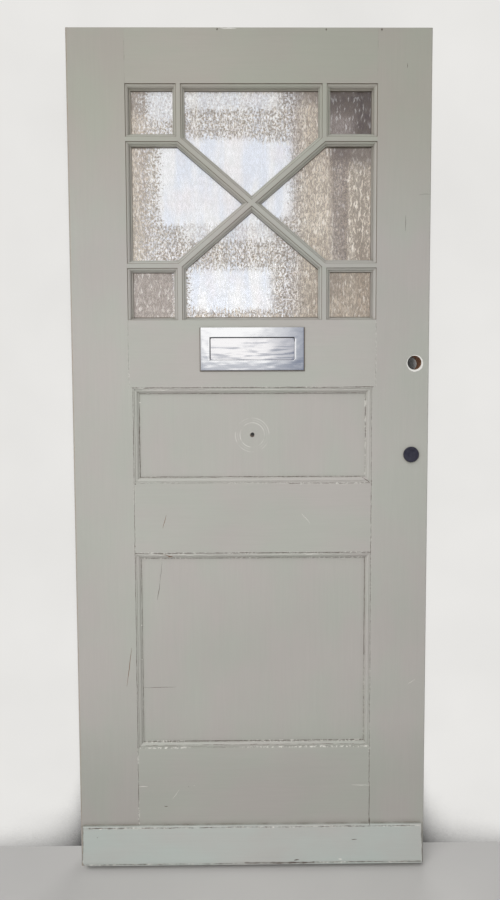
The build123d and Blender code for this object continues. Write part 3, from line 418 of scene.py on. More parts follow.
# scratches and knocks in millimetres, by what they show: x and z where they start and end, and width
scratches = {
    "undercoatAndHighlight": (
        (-262, 1131.3, -262, 1130, 3.0),
        (-264.6, 596.8, -264.6, 595, 2.6),
        (-264.6, 512.3, -264.6, 511, 2.6),
        (-277, 198, -255, 198.5, 0.9),
        (243, 198, 284, 197, 0.9),
        (120, 866, 140, 842, 0.7),
        (-142, 200, -142, 199, 1.5),
        (-196, 165, -178, 190, 0.5),
        # these long lines along the flats of the mouldings are worn undercoat and also a painted highlight on their lit
        # edge
        (-255, 1160, -180, 1160.4, 0.9),
        (-200, 1160.4, 270, 1160, 0.6),
        (-268, 768, -60, 767.6, 1.1),
        (-110, 767.6, 265, 768.0, 0.7),
        (128, 768.4, 160, 768.0, 1.9),
        (-374, 98, -366, 98.5, 2.6),
        (-280, 98.5, -262, 98.2, 1.6),
        (-254, 98.2, -240, 98.6, 1.8),
        (14, 98.5, 26, 98.6, 2.0),
        (120, 98.6, 160, 98.2, 1.7),
        (396, 98.2, 410, 98.4, 2.2),
        (-66, 1979.5, -30, 1979.5, 1.6),
        (394, 460, 377, 450, 0.6),
        (208, 24, 216, 24, 2.0),
    ),
    "wood": (
        (-288.9, 541.8, -301.4, 448.4, 1.1),
        (-202.1, 863.6, -210.1, 832.5, 1.1),
        (-199, 763, -190, 764, 2.4),
        (-213, 770, -188, 763, 1.2),
    ),
    "dirtAndShadow": (
        (-219.7, 697.5, -226.6, 658.7, 0.9),
        (-214.5, 748, -219.7, 700, 0.5),
        (361.8, 1902, 361.8, 1893, 0.8),
        (360.5, 1561, 360.5, 1524.6, 0.7),
        (391.4, 1608.8, 419.3, 1608.8, 0.5),
        (-260.8, 442, -183.7, 442, 0.7),
        (-155.4, 196.9, -155.4, 195.9, 1.8),
        (-215, 148.5, -207, 148.1, 1.5),
        (-275.9, 938.5, -273, 938.5, 2.4),
        (-277, 792, -277, 788, 1.9),
        (286.0, 114.7, 286.0, 101, 2.2),
        (264, 952, 283, 938, 1.3),
        (-376.8, 78.5, -376.8, 77.5, 2.0),
        (240.8, 68, 253, 68.5, 1.3),
        (302.9, 1979, 302.9, 1975, 3.0),
        (175.1, 1979, 175.1, 1975, 2.6),
        (-73.1, 1979, -73.1, 1975, 2.6),
        (100, 23, 112, 24, 2.2),
    ),
}

# places where ironmongery sat, in metres
relics = {
    "face": (-0.0216, -0.0210, 1.0, 0.0),  # the depths between which marks on the face end
    "bore": (0.3847, 0, 1.2215),
    "boreRadius": 0.0165,
    "boreEdge": (0.0001, 0.0003),
    "boreMouth": (-0.0212, -0.0200),
    "boreTimber": ((0.10, 0.05, 0.028, 1), (0.50, 0.26, 0.14, 1)),
    "primer": (0.78, 0.77, 0.73, 1),
    "primerRadius": 0.0190,
    "primerEdge": 0.0005,
    "primerLean": (0.06, -0.08, 0.0746),  # its ring is wider to the right and low down
    "knob": (0.003, 0, 1.053),
    "knobStain": (0.0042, 0.0065),
    "rings": ((0.0400, 0.50), (0.0290, 0.65), (0.0345, 0.22)),  # radius and strength
    "ringWidth": 0.0015,
    "ringColour": (0.66, 0.65, 0.61, 1),
    "slot": (-0.095, 0.103, 1.228, 1.281),  # the letter plate's opening: left, right, foot and top
    "slotShadeAndDirt": 0.0010,
    "plateShadowAndDirt": 0.0024,
    "hingeSeat": -0.4165,
    "seatEdge": (0.0002, 0.0004),
    "seatTimber": ((0.16, 0.09, 0.05, 1), (0.46, 0.31, 0.19, 1)),
    "light": ((0, -0.2865, 0.2945), (2, 1.3215, 1.8585)),  # the glazed opening: axis, start and end
    # dirt with painted shade in the quirk at the face, and dust with painted shade deep on the sticking by the glass
    "quirkDirtAndShade": ((-0.0217, -0.0214), (-0.02046, -0.02030, 0.9, 0.0)),  # depths and shares
    "sunkDustAndShade": ((-0.0140, -0.0070, 0.0, 0.82), (-0.0046, -0.0042, 1.0, 0.0)),
}


def turnedGrain(tree, place, grain):
    # turns the place so that the grain runs along its Z
    if grain == "along":
        parts = split(tree, place)
        return put(tree, "ShaderNodeCombineXYZ", {0: parts[2], 1: parts[1], 2: parts[0]}).outputs[0]
    if grain in ("falling", "rising"):
        angle = math.radians(paint["diagonal"] * (1 if grain == "falling" else -1))
        wires = {"Vector": place, "Angle": angle}
        return put(tree, "ShaderNodeVectorRotate", wires, rotation_type="Y_AXIS").outputs[0]
    return place


def reachedBy(low, high, start, end, spare=4.0):
    # whether a mark given in millimetres touches a box given in metres that comes to the front
    if low.y > paint["front"][0]:
        return False
    for k, axis in ((0, 0), (1, 2)):
        if max(start[k], end[k]) + spare < low[axis] * 1000 or min(start[k], end[k]) - spare > high[axis] * 1000:
            return False
    return True


def paintedWood(node, low, high):
    board = node == "weatherboard"
    material, tree, shader, place = newMaterial(node + "Paint")
    tone, cast = ("boardLitTone", "boardLitCast") if board else ("tone", "cast")
    wires = {"Place": turnedGrain(tree, place, grainOf(node)), "Tone": paint[tone], "Cast": paint[cast]}
    coat = use(tree, paintCoat, wires)
    rounded = put(tree, "ShaderNodeBevel", {"Radius": paint["rounding"]}, samples=4).outputs[0]
    flat = tree.nodes.new("ShaderNodeNewGeometry").outputs["True Normal"]
    opened = put(tree, "ShaderNodeAmbientOcclusion", {"Distance": paint["grimeAndShadeReach"]}, samples=5).outputs["AO"]
    wear = paint["wear"] * (paint["boardWear"] if board else 1.0)
    edges = {"Place": place, "Rounded": rounded, "Flat": flat, "Open": opened, "Wear": wear}
    wornAndShaded = use(tree, edgeWearAndCreaseShade, edges)
    parts = split(tree, place)
    front = held(tree, parts[1], *paint["front"])
    uneven = use(tree, weathering, {"Place": place})
    wandering = moves(tree, "ADD", flattened(tree, place), uneven["Ripple"])
    shown = {kind: None for kind, depth in paint["marks"]}

    def show(kind, mask):
        shown[kind] = mask if shown[kind] is None else sums(tree, "MAXIMUM", shown[kind], mask)

    for way, at, start, end, width, whole, flaking in cracks:
        first, last = ((at, start), (at, end)) if way == "up" else ((start, at), (end, at))
        if not reachedBy(low, high, first, last):
            continue
        across, along = (parts[0], parts[2]) if way == "up" else (parts[2], parts[0])
        line = {"Along": along, "Start": start / 1000, "End": end / 1000, "Whole": whole, "Flaking": flaking}
        line["Across"] = sums(tree, "ADD", sums(tree, "SUBTRACT", across, at / 1000), uneven["Wander"])
        line["Width"] = product(tree, uneven["Swell"], width / 1000)
        crack = use(tree, crackLine, line | {key: uneven[key] for key in ("Breaks", "Patches")})
        show("dirtAndShadow", crack["Dark"])
        show("undercoatAndHighlight", crack["Light"])
    if shown["dirtAndShadow"] is not None:
        shown["dirtAndShadow"] = product(tree, shown["dirtAndShadow"], uneven["Depth"])
        shown["undercoatAndHighlight"] = product(tree, shown["undercoatAndHighlight"], uneven["Chips"])
    for kind, rows in scratches.items():
        for x, z, endX, endZ, width in rows:
            if reachedBy(low, high, (x, z), (endX, endZ)):
                ends = {"From": (x / 1000, 0, z / 1000), "To": (endX / 1000, 0, endZ / 1000)}
                show(kind, use(tree, scratchMark, dict(ends, Place=wandering, Width=width / 1000))["Mask"])
    colour, height = coat["Color"], coat["Height"]
    colour = mixed(tree, held(tree, parts[2], *paint["topTintRise"]), colour, paint["topTint"], "MULTIPLY")
    # painted shade: darker towards the foot, except on the weatherboard
    if not board:
        colour = mixed(tree, held(tree, parts[2], *paint["footShadeRise"]), colour, paint["footShade"], "MULTIPLY")
    # grime and painted shade in the closed-in quirks and corners
    colour = mixed(tree, product(tree, wornAndShaded["Dirt"], paint["grimeAndShadeShare"]), colour, paint["grimeAndShade"])
    colour = mixed(tree, wornAndShaded["Chips"], colour, paint["undercoatAndHighlight"])
    height = sums(tree, "SUBTRACT", height, product(tree, wornAndShaded["Chips"], paint["chipDepth"]))
    for kind, depth in paint["marks"]:
        if shown[kind] is not None:
            mask = product(tree, shown[kind], front)
            colour = mixed(tree, mask, colour, paint[kind])
            height = sums(tree, "SUBTRACT", height, product(tree, mask, depth))
    return material, tree, shader, place, parts, colour, coat["Roughness"], height, rounded


def grainOf(node):
    if node.endswith("_diagonal_bar"):
        return node.split("_")[0]
    if node.endswith("_moulding"):
        return "along" if node.endswith(("top_moulding", "bottom_moulding")) else "up"
    if any(word in node for word in ("rail", "level", "weatherboard", "wedges")):
        return "along"
    return "up" if any(word in node for word in ("stile", "upright", "panel")) else "along"


def paintNode(node):
    low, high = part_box(node)
    material, tree, shader, place, parts, colour, roughness, height, rounded = paintedWood(node, low, high)
    onFace = held(tree, parts[1], *relics["face"]) if node in ("lock_stile", "letter_rail") else None
    if node == "lock_stile":
        # a ragged ring of primer round the empty bore, and the bore's bare timber
        radius = relics["boreRadius"]
        hole = {"Place": place, "Middle": relics["bore"], "Radius": radius, "Width": 0.001}
        away = use(tree, ringMark, hole)["Distance"]
        ragged = held(tree, speckle(tree, place, 150, 3), 0.3, 0.7, -0.0005, 0.0005)
        aside, rise, start = relics["primerLean"]
        leaning = sums(tree, "ADD", product(tree, parts[0], aside), product(tree, parts[2], rise))
        rim = sums(tree, "SUBTRACT", sums(tree, "ADD", away, ragged), sums(tree, "ADD", leaning, start))
        reach = relics["primerRadius"]
        primer = product(tree, held(tree, rim, reach, reach + relics["primerEdge"], 1.0, 0.0), onFace)
        colour = mixed(tree, primer, colour, relics["primer"])
        bare = held(tree, away, *(radius + edge for edge in relics["boreEdge"]), 1.0, 0.0)
        fibres = grained(tree, place, (500, 500, 40), 3)
        timber = mixed(tree, fibres, *relics["boreTimber"])
        colour = mixed(tree, product(tree, bare, held(tree, parts[1], *relics["boreMouth"])), colour, timber)
    if node == "letter_rail":
        # dirt and a painted shadow under the letter plate and down its sides, with none above it
        foot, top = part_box("letter_plate")
        beyond = sums(tree, "SUBTRACT", foot.z, parts[2])
        for gap in ((foot.x, parts[0]), (parts[0], top.x)):
            beyond = sums(tree, "MAXIMUM", beyond, sums(tree, "SUBTRACT", *gap))
        line = held(tree, beyond, relics["plateShadowAndDirt"] * 0.5, relics["plateShadowAndDirt"], 0.92, 0.0)
        line = product(tree, line, sums(tree, "LESS_THAN", parts[2], top.z), onFace)
        colour = mixed(tree, line, colour, paint["dirtAndShadow"])
    if node == "upper_panel":
        # the rings that the knob's rose has left, and the stain round its hole
        for radius, strength in relics["rings"]:
            wires = {"Place": place, "Middle": relics["knob"], "Radius": radius, "Width": relics["ringWidth"]}
            ring = use(tree, ringMark, wires)
            colour = mixed(tree, product(tree, ring["Ring"], strength), colour, relics["ringColour"])
            height = sums(tree, "ADD", height, product(tree, ring["Ring"], 0.8))
        stained = held(tree, ring["Distance"], *relics["knobStain"], 1.0, 0.0, soft=True)
        colour = mixed(tree, stained, colour, paint["dirtAndShadow"])
    if node == "hinge_stile":
        # bare timber where the hinges sat
        off = sums(tree, "ABSOLUTE", sums(tree, "SUBTRACT", parts[0], relics["hingeSeat"]))
        fibres = grained(tree, place, (300, 300, 12), 4, 0.7)
        timber = mixed(tree, fibres, *relics["seatTimber"])
        colour = mixed(tree, held(tree, off, *relics["seatEdge"], 1.0, 0.0), colour, timber)
    if all(high[axis] > start and low[axis] < end for axis, start, end in relics["light"]):
        # dirt in the quirks of the mouldings and dust settled on them close to the glass, which also stand in as
        # painted shade: the sticking darkens in its quirk and where it sinks towards the glass
        quirk, sunk = (
            product(tree, *(held(tree, parts[1], *band) for band in relics[kind])) for kind in ("quirkDirtAndShade", "sunkDustAndShade")
        )
        dustyAndShaded = sums(tree, "MAXIMUM", quirk, sunk)
        for axis, start, end in relics["light"]:
            after = sums(tree, "GREATER_THAN", parts[axis], start)
            dustyAndShaded = product(tree, dustyAndShaded, after, sums(tree, "LESS_THAN", parts[axis], end))
        colour = mixed(tree, dustyAndShaded, colour, paint["dustAndShade"])
    surface(tree, shader, colour, roughness, height, paint["bump"], rounded)
    dress(nodes[node], material)


slotOf = {row["node"]: row["material_slot"] for row in frame["record"]["subparts"]}
for node in sorted(nodes):
    if slotOf[node] == "painted_wood":
        paintNode(node)
print("timber painted")

# the obscure glass: wrinkled on its back, with what shows through it and in it painted into its colour: painted light
# of the sky, painted shade of what stands behind, painted reflections and glints
glass = {
    "cell": 0.0025,
    "wrinkle": 0.0065,
    "upright": 1.6,
    "depth": 0.0009,
    # colours of the view through the glass and of its reflections, painted into its colour
    "bright": (0.93, 0.935, 0.95, 1),
    "blue": (0.83, 0.865, 0.94, 1),
    "pink": (0.90, 0.85, 0.86, 1),
    "warm": (0.60, 0.52, 0.435, 1),
    "pale": (0.82, 0.75, 0.65, 1),
    "mauve": (0.42, 0.375, 0.36, 1),
    "tan": (0.40, 0.325, 0.25, 1),
    "plum": (0.22, 0.185, 0.19, 1),
    "shade": (0.17, 0.14, 0.135, 1),
    "dark": (0.045, 0.035, 0.040, 1),
    "fleck": (0.19, 0.16, 0.135, 1),
    "glint": (0.90, 0.90, 0.89, 1),
    "transmission": 0.82,
    "bending": 1.5,
    "bump": (0.25, 0.0006),
    "smooth": 40,  # degrees
    # fields in metres: left, right, foot, top, how soft and how ragged; the shades add their share and colour as
    # painted shade of what stands behind
    # painted shade of a dark post and of dark blotches behind the right-hand panes
    "strip": (0.190, 0.228, 1.45, 1.74, 0.006, 0.008),
    "paintedShadeBlotch": (0.238, 0.278, 1.44, 1.70, 0.010, 0.030),
    "broken": (-0.245, 0.118, 1.325, 1.865, 0.02, 0.035),
    "plain": (-0.30, -0.180, 1.30, 1.44, 0.004, 0.004),
    "shades": (
        (0.165, 0.215, 1.38, 1.45, 0.012, 0.008, 0.45, "plum"),
        (0.185, 0.40, 1.682, 1.80, 0.018, 0.020, 0.75, "shade"),
        (0.065, 0.180, 1.30, 1.52, 0.012, 0.020, 0.40, "tan"),
        (0.165, 0.40, 1.735, 1.90, 0.004, 0.003, 0.80, "shade"),
        (0.165, 0.40, 1.805, 1.90, 0.020, 0.012, 0.6, "dark"),
        (0.245, 0.40, 1.735, 1.90, 0.015, 0.006, 0.4, "dark"),
        (0.165, 0.240, 1.735, 1.792, 0.012, 0.008, 0.6, "mauve"),
        (0.165, 0.40, 1.30, 1.44, 0.004, 0.004, 0.5, "tan"),
        (0.070, 0.175, 1.82, 1.90, 0.012, 0.010, 0.55, "shade"),
        (-0.30, -0.180, 1.30, 1.44, 0.004, 0.004, 0.75, "mauve"),
        (-0.30, -0.235, 1.80, 1.90, 0.012, 0.012, 0.5, "shade"),
    ),
    "skyEdge": (0.007, 0.020),
    "sky": (  # painted light, bright fields of sky seen through: left, right, foot, top, and how bright
        (-0.155, 0.095, 1.560, 1.738, 1.0),
        (-0.217, 0.020, 1.541, 1.745, 1.0),
        (-0.150, 0.050, 1.345, 1.445, 1.0),
        (-0.160, 0.055, 1.506, 1.565, 0.75),
        (-0.160, 0.065, 1.805, 1.850, 0.75),
        (-0.240, -0.170, 1.780, 1.855, 0.75),
    ),
}


def deselectAll():
    for thing in bpy.context.selected_objects:
        thing.select_set(False)


def take(thing):
    deselectAll()
    thing.select_set(True)
    bpy.context.view_layer.objects.active = thing


def obscureGlassMaterial():
    material, tree, shader, place = newMaterial("obscureGlass")
    parts = split(tree, place)
    flat = flattened(tree, place)
    flowed = moves(tree, "ADD", flat, shiver(tree, flat, 105.0, 0.009))
    fleck = grained(tree, flowed, (190, 1, 235), 2, 0.65)
    drip = grained(tree, flowed, (230, 1, 50), 2, 0.6)
    streaky = grained(tree, flat, (34, 1, 2.5), 3)
    drift = grained(tree, flat, (26, 1, 5), 3)
    tint = grained(tree, flat, (13, 1, 9), 2)

    def window(left, right, foot, top, soft, rag):
        # one where the place is inside the upright rectangle, ragged at its edge
        across = sums(tree, "ADD", parts[0], held(tree, fleck, 0.25, 0.75, -rag, rag))
        rise = sums(tree, "ADD", parts[2], held(tree, drip, 0.25, 0.75, -rag, rag))
        return product(
            tree,
            held(tree, across, left - soft, left + soft),
            held(tree, across, right + soft, right - soft),
            held(tree, rise, foot - soft, foot + soft),
            held(tree, rise, top + soft, top - soft),
        )

    def veil(colour, field, share, shade):
        return mixed(tree, product(tree, field, share), colour, glass[shade])

    # the view through the glass, painted: warm and pale streaks with the painted shade of a post, of dark blotches and
    # of what stands behind
    through = mixed(tree, held(tree, streaky, 0.35, 0.65), glass["warm"], glass["pale"])
    strip = product(tree, window(*glass["strip"]), held(tree, fleck, 0.42, 0.60, 1.0, 0.35))
    through = veil(through, strip, 0.75, "plum")
    paintedShadeBlotch = product(tree, window(*glass["paintedShadeBlotch"]), held(tree, drip, 0.56, 0.44))
    through = veil(through, paintedShadeBlotch, 0.6, "fleck")
    for *field, share, shade in glass["shades"]:
        through = veil(through, window(*field), share, shade)
    # painted light: bright fields of sky seen through the glass
    bright = None
    for *field, strength in glass["sky"]:
        lit = product(tree, window(*field, *glass["skyEdge"]), strength)
        bright = lit if bright is None else sums(tree, "MAXIMUM", bright, lit)
    # painted reflections speckle the wrinkles outside the plain field
    unlike = sums(tree, "SUBTRACT", 1.0, window(*glass["plain"]))
    broken = product(tree, window(*glass["broken"]), unlike)
    mirrored = sums(tree, "MAXIMUM", bright, product(tree, broken, held(tree, fleck, 0.46, 0.54)))
    sky = mixed(tree, held(tree, drift, 0.42, 0.6), glass["bright"], glass["blue"])
    sky = veil(sky, held(tree, tint, 0.5, 0.65), 0.5, "pink")
    colour = mixed(tree, mirrored, through, sky)
    # painted dark flecks and streaks, and painted glints, along the wrinkles
    streaks = held(tree, sums(tree, "ABSOLUTE", sums(tree, "SUBTRACT", drip, 0.5)), 0.01, 0.085, 1.0, 0.0)
    rest = sums(tree, "SUBTRACT", 1.0, held(tree, bright, 0.3, 1.0))
    colour = veil(colour, product(tree, held(tree, fleck, 0.47, 0.38), broken, rest), 0.72, "fleck")
    lined = product(tree, streaks, sums(tree, "ADD", product(tree, rest, 0.45), 0.14))
    colour = mixed(tree, lined, colour, glass["fleck"])
    glints = product(tree, held(tree, drip, 0.57, 0.66), rest, held(tree, broken, 0.0, 1.0, 0.36, 0.75))
    colour = mixed(tree, glints, colour, glass["glint"])
    shader.inputs["Transmission Weight"].default_value = glass["transmission"]
    shader.inputs["IOR"].default_value = glass["bending"]
    rough = held(tree, drift, 0.3, 0.7, 0.05, 0.12)
    surface(tree, shader, colour, rough, sums(tree, "ADD", drip, fleck), glass["bump"])
    return material


def rippled(thing, name, group, wave, origin, stretch, depth, level):
    # moves a vertex group along Y by clouds that a stretched ruler measures
    clouds = bpy.data.textures.new(name, "CLOUDS")
    clouds.noise_scale = wave
    clouds.noise_depth = 1
    bpy.ops.object.empty_add(location=origin)
    ruler = bpy.context.active_object
    ruler.scale = stretch
    take(thing)
    ripple = thing.modifiers.new("ripple", "DISPLACE")
    ripple.texture = clouds
    ripple.texture_coords = "OBJECT"
    ripple.texture_coords_object = ruler
    ripple.vertex_group = group
    ripple.direction = "Y"
    ripple.strength = depth
    ripple.mid_level = level
    bpy.ops.object.modifier_apply(modifier="ripple")
    bpy.data.objects.remove(ruler)
    take(thing)


def reliefPane(node, material):
    # a grid cut to the pane's outline, thickened, and wrinkled on the side of the room
    low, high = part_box(node)
    width, height = high.x - low.x, high.z - low.z
    middle = ((low.x + high.x) / 2, low.y, (low.z + high.z) / 2)
    deselectAll()
    bpy.ops.mesh.primitive_grid_add(
        x_subdivisions=round(width / glass["cell"]),
        y_subdivisions=round(height / glass["cell"]),
        size=1,
        location=middle,
        rotation=(math.pi / 2, 0, 0),
    )
    pane = bpy.context.active_object
    pane.name = node + "_glass"
    pane.scale = (width, height, 1)
    bpy.ops.object.transform_apply(location=True, rotation=True, scale=True)
    sides = set()
    for face in nodes[node].data.polygons:
        if abs(face.normal.y) < 0.1:
            normal = tuple(round(v, 3) for v in face.normal)
            sides.add((normal, round(face.normal.dot(face.center), 4)))
    bpy.ops.object.mode_set(mode="EDIT")
    for normal, reach in sorted(sides):
        if max(abs(v) for v in normal) > 0.999:
            continue
        bpy.ops.mesh.select_all(action="SELECT")
        at = Vector(normal) * reach
        bpy.ops.mesh.bisect(plane_co=at, plane_no=normal, clear_outer=True, clear_inner=False)
    bpy.ops.object.mode_set(mode="OBJECT")
    pane.vertex_groups.new(name="back")
    thick = pane.modifiers.new("thickness", "SOLIDIFY")
    thick.thickness = high.y - low.y
    thick.offset = -1
    thick.shell_vertex_group = "back"
    bpy.ops.object.modifier_apply(modifier="thickness")
    stretch = (1, 1, glass["upright"])
    rippled(pane, node + "Wrinkles", "back", glass["wrinkle"], (0, 0, 0), stretch, glass["depth"], 1.0)
    bpy.ops.object.shade_smooth_by_angle(angle=math.radians(glass["smooth"]))
    dress(pane, material)
    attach(pane, "leaf")
    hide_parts(node)


glassMaterial = obscureGlassMaterial()
for node in sorted(nodes):
    if node.endswith("_pane"):
        reliefPane(node, glassMaterial)
print("panes glazed")

# metals
metals = {
    "chrome": (0.95, 0.95, 0.955, 1),
    "chromeWorn": (0.93, 0.915, 0.92, 1),
    "chromeDull": (0.62, 0.63, 0.67, 1),
    "slotShadeAndDirt": (0.045, 0.035, 0.04, 1),
    "pits": (0.20, 0.20, 0.22, 1),
    "platingBump": (0.08, 0.0002),
    "iron": (0.022, 0.021, 0.034, 1),
    "ironRubbed": (0.045, 0.043, 0.060, 1),
    "ironRounding": 0.0008,
    "ironBump": (0.15, 0.0002),
    "plainBump": (0.12, 0.0003),
}
steelLook = {
    "clean": (0.46, 0.45, 0.43, 1),
    "dull": (0.20, 0.10, 0.055, 1),
    "cleanRoughness": 0.34,
    "dullRoughness": 0.62,
    "share": 0.06,
    "scale": 220,
}
brassLook = {
    "clean": (0.58, 0.42, 0.20, 1),
    "dull": (0.22, 0.15, 0.08, 1),
    "cleanRoughness": 0.28,
    "dullRoughness": 0.5,
    "share": 0.08,
    "scale": 160,
}


def metalMaterial(name, look):
    # brushed metal with dull spots
    material, tree, shader, place = newMaterial(name)
    cloud = speckle(tree, place, look["scale"], 4, 0.6)
    fine = grained(tree, place, (40, 40, 900), 2)
    spots = held(tree, cloud, 0.62 - look["share"], 0.74 - look["share"])
    colour = mixed(tree, spots, look["clean"], look["dull"])
    rough = held(tree, spots, 0.0, 1.0, look["cleanRoughness"], look["dullRoughness"])
    rough = sums(tree, "ADD", rough, held(tree, fine, 0.3, 0.7, -0.03, 0.03))
    shader.inputs["Metallic"].default_value = 1.0
    surface(tree, shader, colour, rough, sums(tree, "ADD", fine, product(tree, cloud, 2.0)), metals["plainBump"])
    return material


def platingMaterial(name, clean):
    # bright plating with faint level wipe marks, some grey bloom, a few pits, and dirt with painted shade along the top
    # and the left inside the flap's opening
    material, tree, shader, place = newMaterial(name)
    wipe = grained(tree, place, (14, 200, 420), 3)
    bloom = grained(tree, place, (18, 18, 45), 3, 0.6)
    pits = speckle(tree, place, 800, 2)
    colour = mixed(tree, held(tree, bloom, 0.54, 0.78, 0.0, 0.5), clean, metals["chromeDull"])
    colour = mixed(tree, held(tree, pits, 0.72, 0.76, 0.0, 0.6), colour, metals["pits"])
    parts = split(tree, place)
    left, right, foot, top = relics["slot"]
    width = relics["slotShadeAndDirt"]
    inside = sums(tree, "GREATER_THAN", parts[0], left - width)
    for axis, kind, edge in ((0, "LESS_THAN", right), (2, "GREATER_THAN", foot), (2, "LESS_THAN", top + width)):
        inside = product(tree, inside, sums(tree, kind, parts[axis], edge))
    # painted shade with dirt: only along the top and the left of the opening, where the rim shades the flap
    head = held(tree, parts[2], top - width, top - width * 0.6)
    side = held(tree, parts[0], left + width, left + width * 0.6)
    rimShadeAndDirt = product(tree, inside, sums(tree, "MAXIMUM", head, side))
    colour = mixed(tree, product(tree, rimShadeAndDirt, 0.9), colour, metals["slotShadeAndDirt"])
    rough = sums(tree, "ADD", held(tree, wipe, 0.3, 0.7, 0.03, 0.08), held(tree, bloom, 0.5, 0.75, 0.0, 0.06))
    rough = sums(tree, "ADD", rough, product(tree, rimShadeAndDirt, 0.5))
    shader.inputs["Metallic"].default_value = 1.0
    surface(tree, shader, colour, rough, wipe, metals["platingBump"])
    return material


def ironMaterial():
    # satin black enamel, rubbed a little in patches here and there
    material, tree, shader, place = newMaterial("blackIron")
    cloud = speckle(tree, place, 140, 4, 0.6)
    colour = mixed(tree, held(tree, cloud, 0.35, 0.7), metals["iron"], metals["ironRubbed"])
    rough = held(tree, cloud, 0.3, 0.7, 0.34, 0.52)
    rounded = put(tree, "ShaderNodeBevel", {"Radius": metals["ironRounding"]}, samples=4).outputs[0]
    surface(tree, shader, colour, rough, speckle(tree, place, 900, 2), metals["ironBump"], rounded)
    return material


plating = platingMaterial("polishedPlate", metals["chrome"])
flapPlating = platingMaterial("polishedFlap", metals["chromeWorn"])
blackIron = ironMaterial()
steel = metalMaterial("plainSteel", steelLook)
brass = metalMaterial("dullBrass", brassLook)
finishes = {"polished_plate": plating, "black_iron": blackIron, "steel": steel, "brass": brass}
for node in sorted(nodes):
    if slotOf[node] in finishes:
        dress(nodes[node], finishes[slotOf[node]])
print("metals finished")

# the letter plate and its flap: bright sheet, which is never quite flat
sheets = {
    "letter_plate": {
        "body": "leaf",
        "cells": (0.0045, 0.0022),
        "depth": 0.00015,
        "wave": 0.011,
        "length": 3.0,
        "plating": plating,
    },
    "letter_flap": {
        "body": "letter_flap",
        "cells": (0.0050, 0.0018),
        "depth": 0.00020,
        "wave": 0.0075,
        "length": 6.0,
        "plating": flapPlating,
    },
}
waving = {
    "merging": 0.00001,
    "flatWithin": 0.5,  # degrees
    "faceDepth": 0.00002,
    "rim": 0.0018,  # stays flat
    "swell": 0.004,
    "origin": (0.011, 0, 0.007),
    "smooth": 35,  # degrees
}


def mergedCopy(node, name):
    # a node's own mesh is loose triangles, so its copy is joined up and cleared of needless edges
    thing = linked(name, nodes[node].data.copy())
    take(thing)
    bpy.ops.object.mode_set(mode="EDIT")
    bpy.ops.mesh.select_all(action="SELECT")
    bpy.ops.mesh.remove_doubles(threshold=waving["merging"])
    bpy.ops.mesh.normals_make_consistent(inside=False)
    bpy.ops.mesh.dissolve_limited(angle_limit=math.radians(waving["flatWithin"]))
    bpy.ops.object.mode_set(mode="OBJECT")
    bpy.ops.mesh.customdata_custom_splitnormals_clear()
    return thing


def wavedSheet(node):
    # cuts the sheet into small cells and lets its face sink a little here and there
    sheet = sheets[node]
    thing = mergedCopy(node, node + "_sheet")
    low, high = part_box(node)
    bpy.ops.object.mode_set(mode="EDIT")
    for axis, cell in ((0, sheet["cells"][0]), (2, sheet["cells"][1])):
        count = round((high[axis] - low[axis]) / cell)
        for k in range(1, count):
            at, way = [0.0, 0.0, 0.0], [0, 0, 0]
            at[axis] = low[axis] + (high[axis] - low[axis]) * k / count
            way[axis] = 1
            bpy.ops.mesh.select_all(action="SELECT")
            bpy.ops.mesh.bisect(plane_co=at, plane_no=way)
    bpy.ops.object.mode_set(mode="OBJECT")
    face = thing.vertex_groups.new(name="face")
    for v in thing.data.vertices:
        if v.co.y > low.y + waving["faceDepth"]:
            continue
        inset = min(v.co.x - low.x, high.x - v.co.x, v.co.z - low.z, high.z - v.co.z)
        if node == "letter_plate":
            left, right, foot, top = relics["slot"]
            inset = min(inset, max(left - v.co.x, v.co.x - right, foot - v.co.z, v.co.z - top))
        share = (inset - waving["rim"]) / waving["swell"]
        face.add([v.index], max(0.0, min(1.0, share)), "REPLACE")
    stretch = (sheet["length"], 1, 1)
    rippled(thing, node + "Waves", "face", sheet["wave"], waving["origin"], stretch, sheet["depth"], 0.5)
    bpy.ops.object.shade_smooth_by_angle(angle=math.radians(waving["smooth"]))
    dress(thing, sheet["plating"])
    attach(thing, sheet["body"])
    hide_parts(node)


for node in sheets:
    wavedSheet(node)
print("letter plate and flap made")

# the flap's spring: a close coil of wire on the pin, with one leg down the flap's back; metres
spring = {
    "pin": (0.004, -0.0165, 1.2755),
    "coilRadius": 0.0026,
    "wireRadius": 0.0006,
    "length": 0.0248,
    "turns": 12,
    "steps": 16,
    "sides": 10,
    "smooth": 50,  # degrees
    "leg": ((-0.0018, 0.0, 0), (-0.00095, -0.0004, 45), (-0.00035, -0.0009, 45), (0.0, -0.0085, 0)),
}


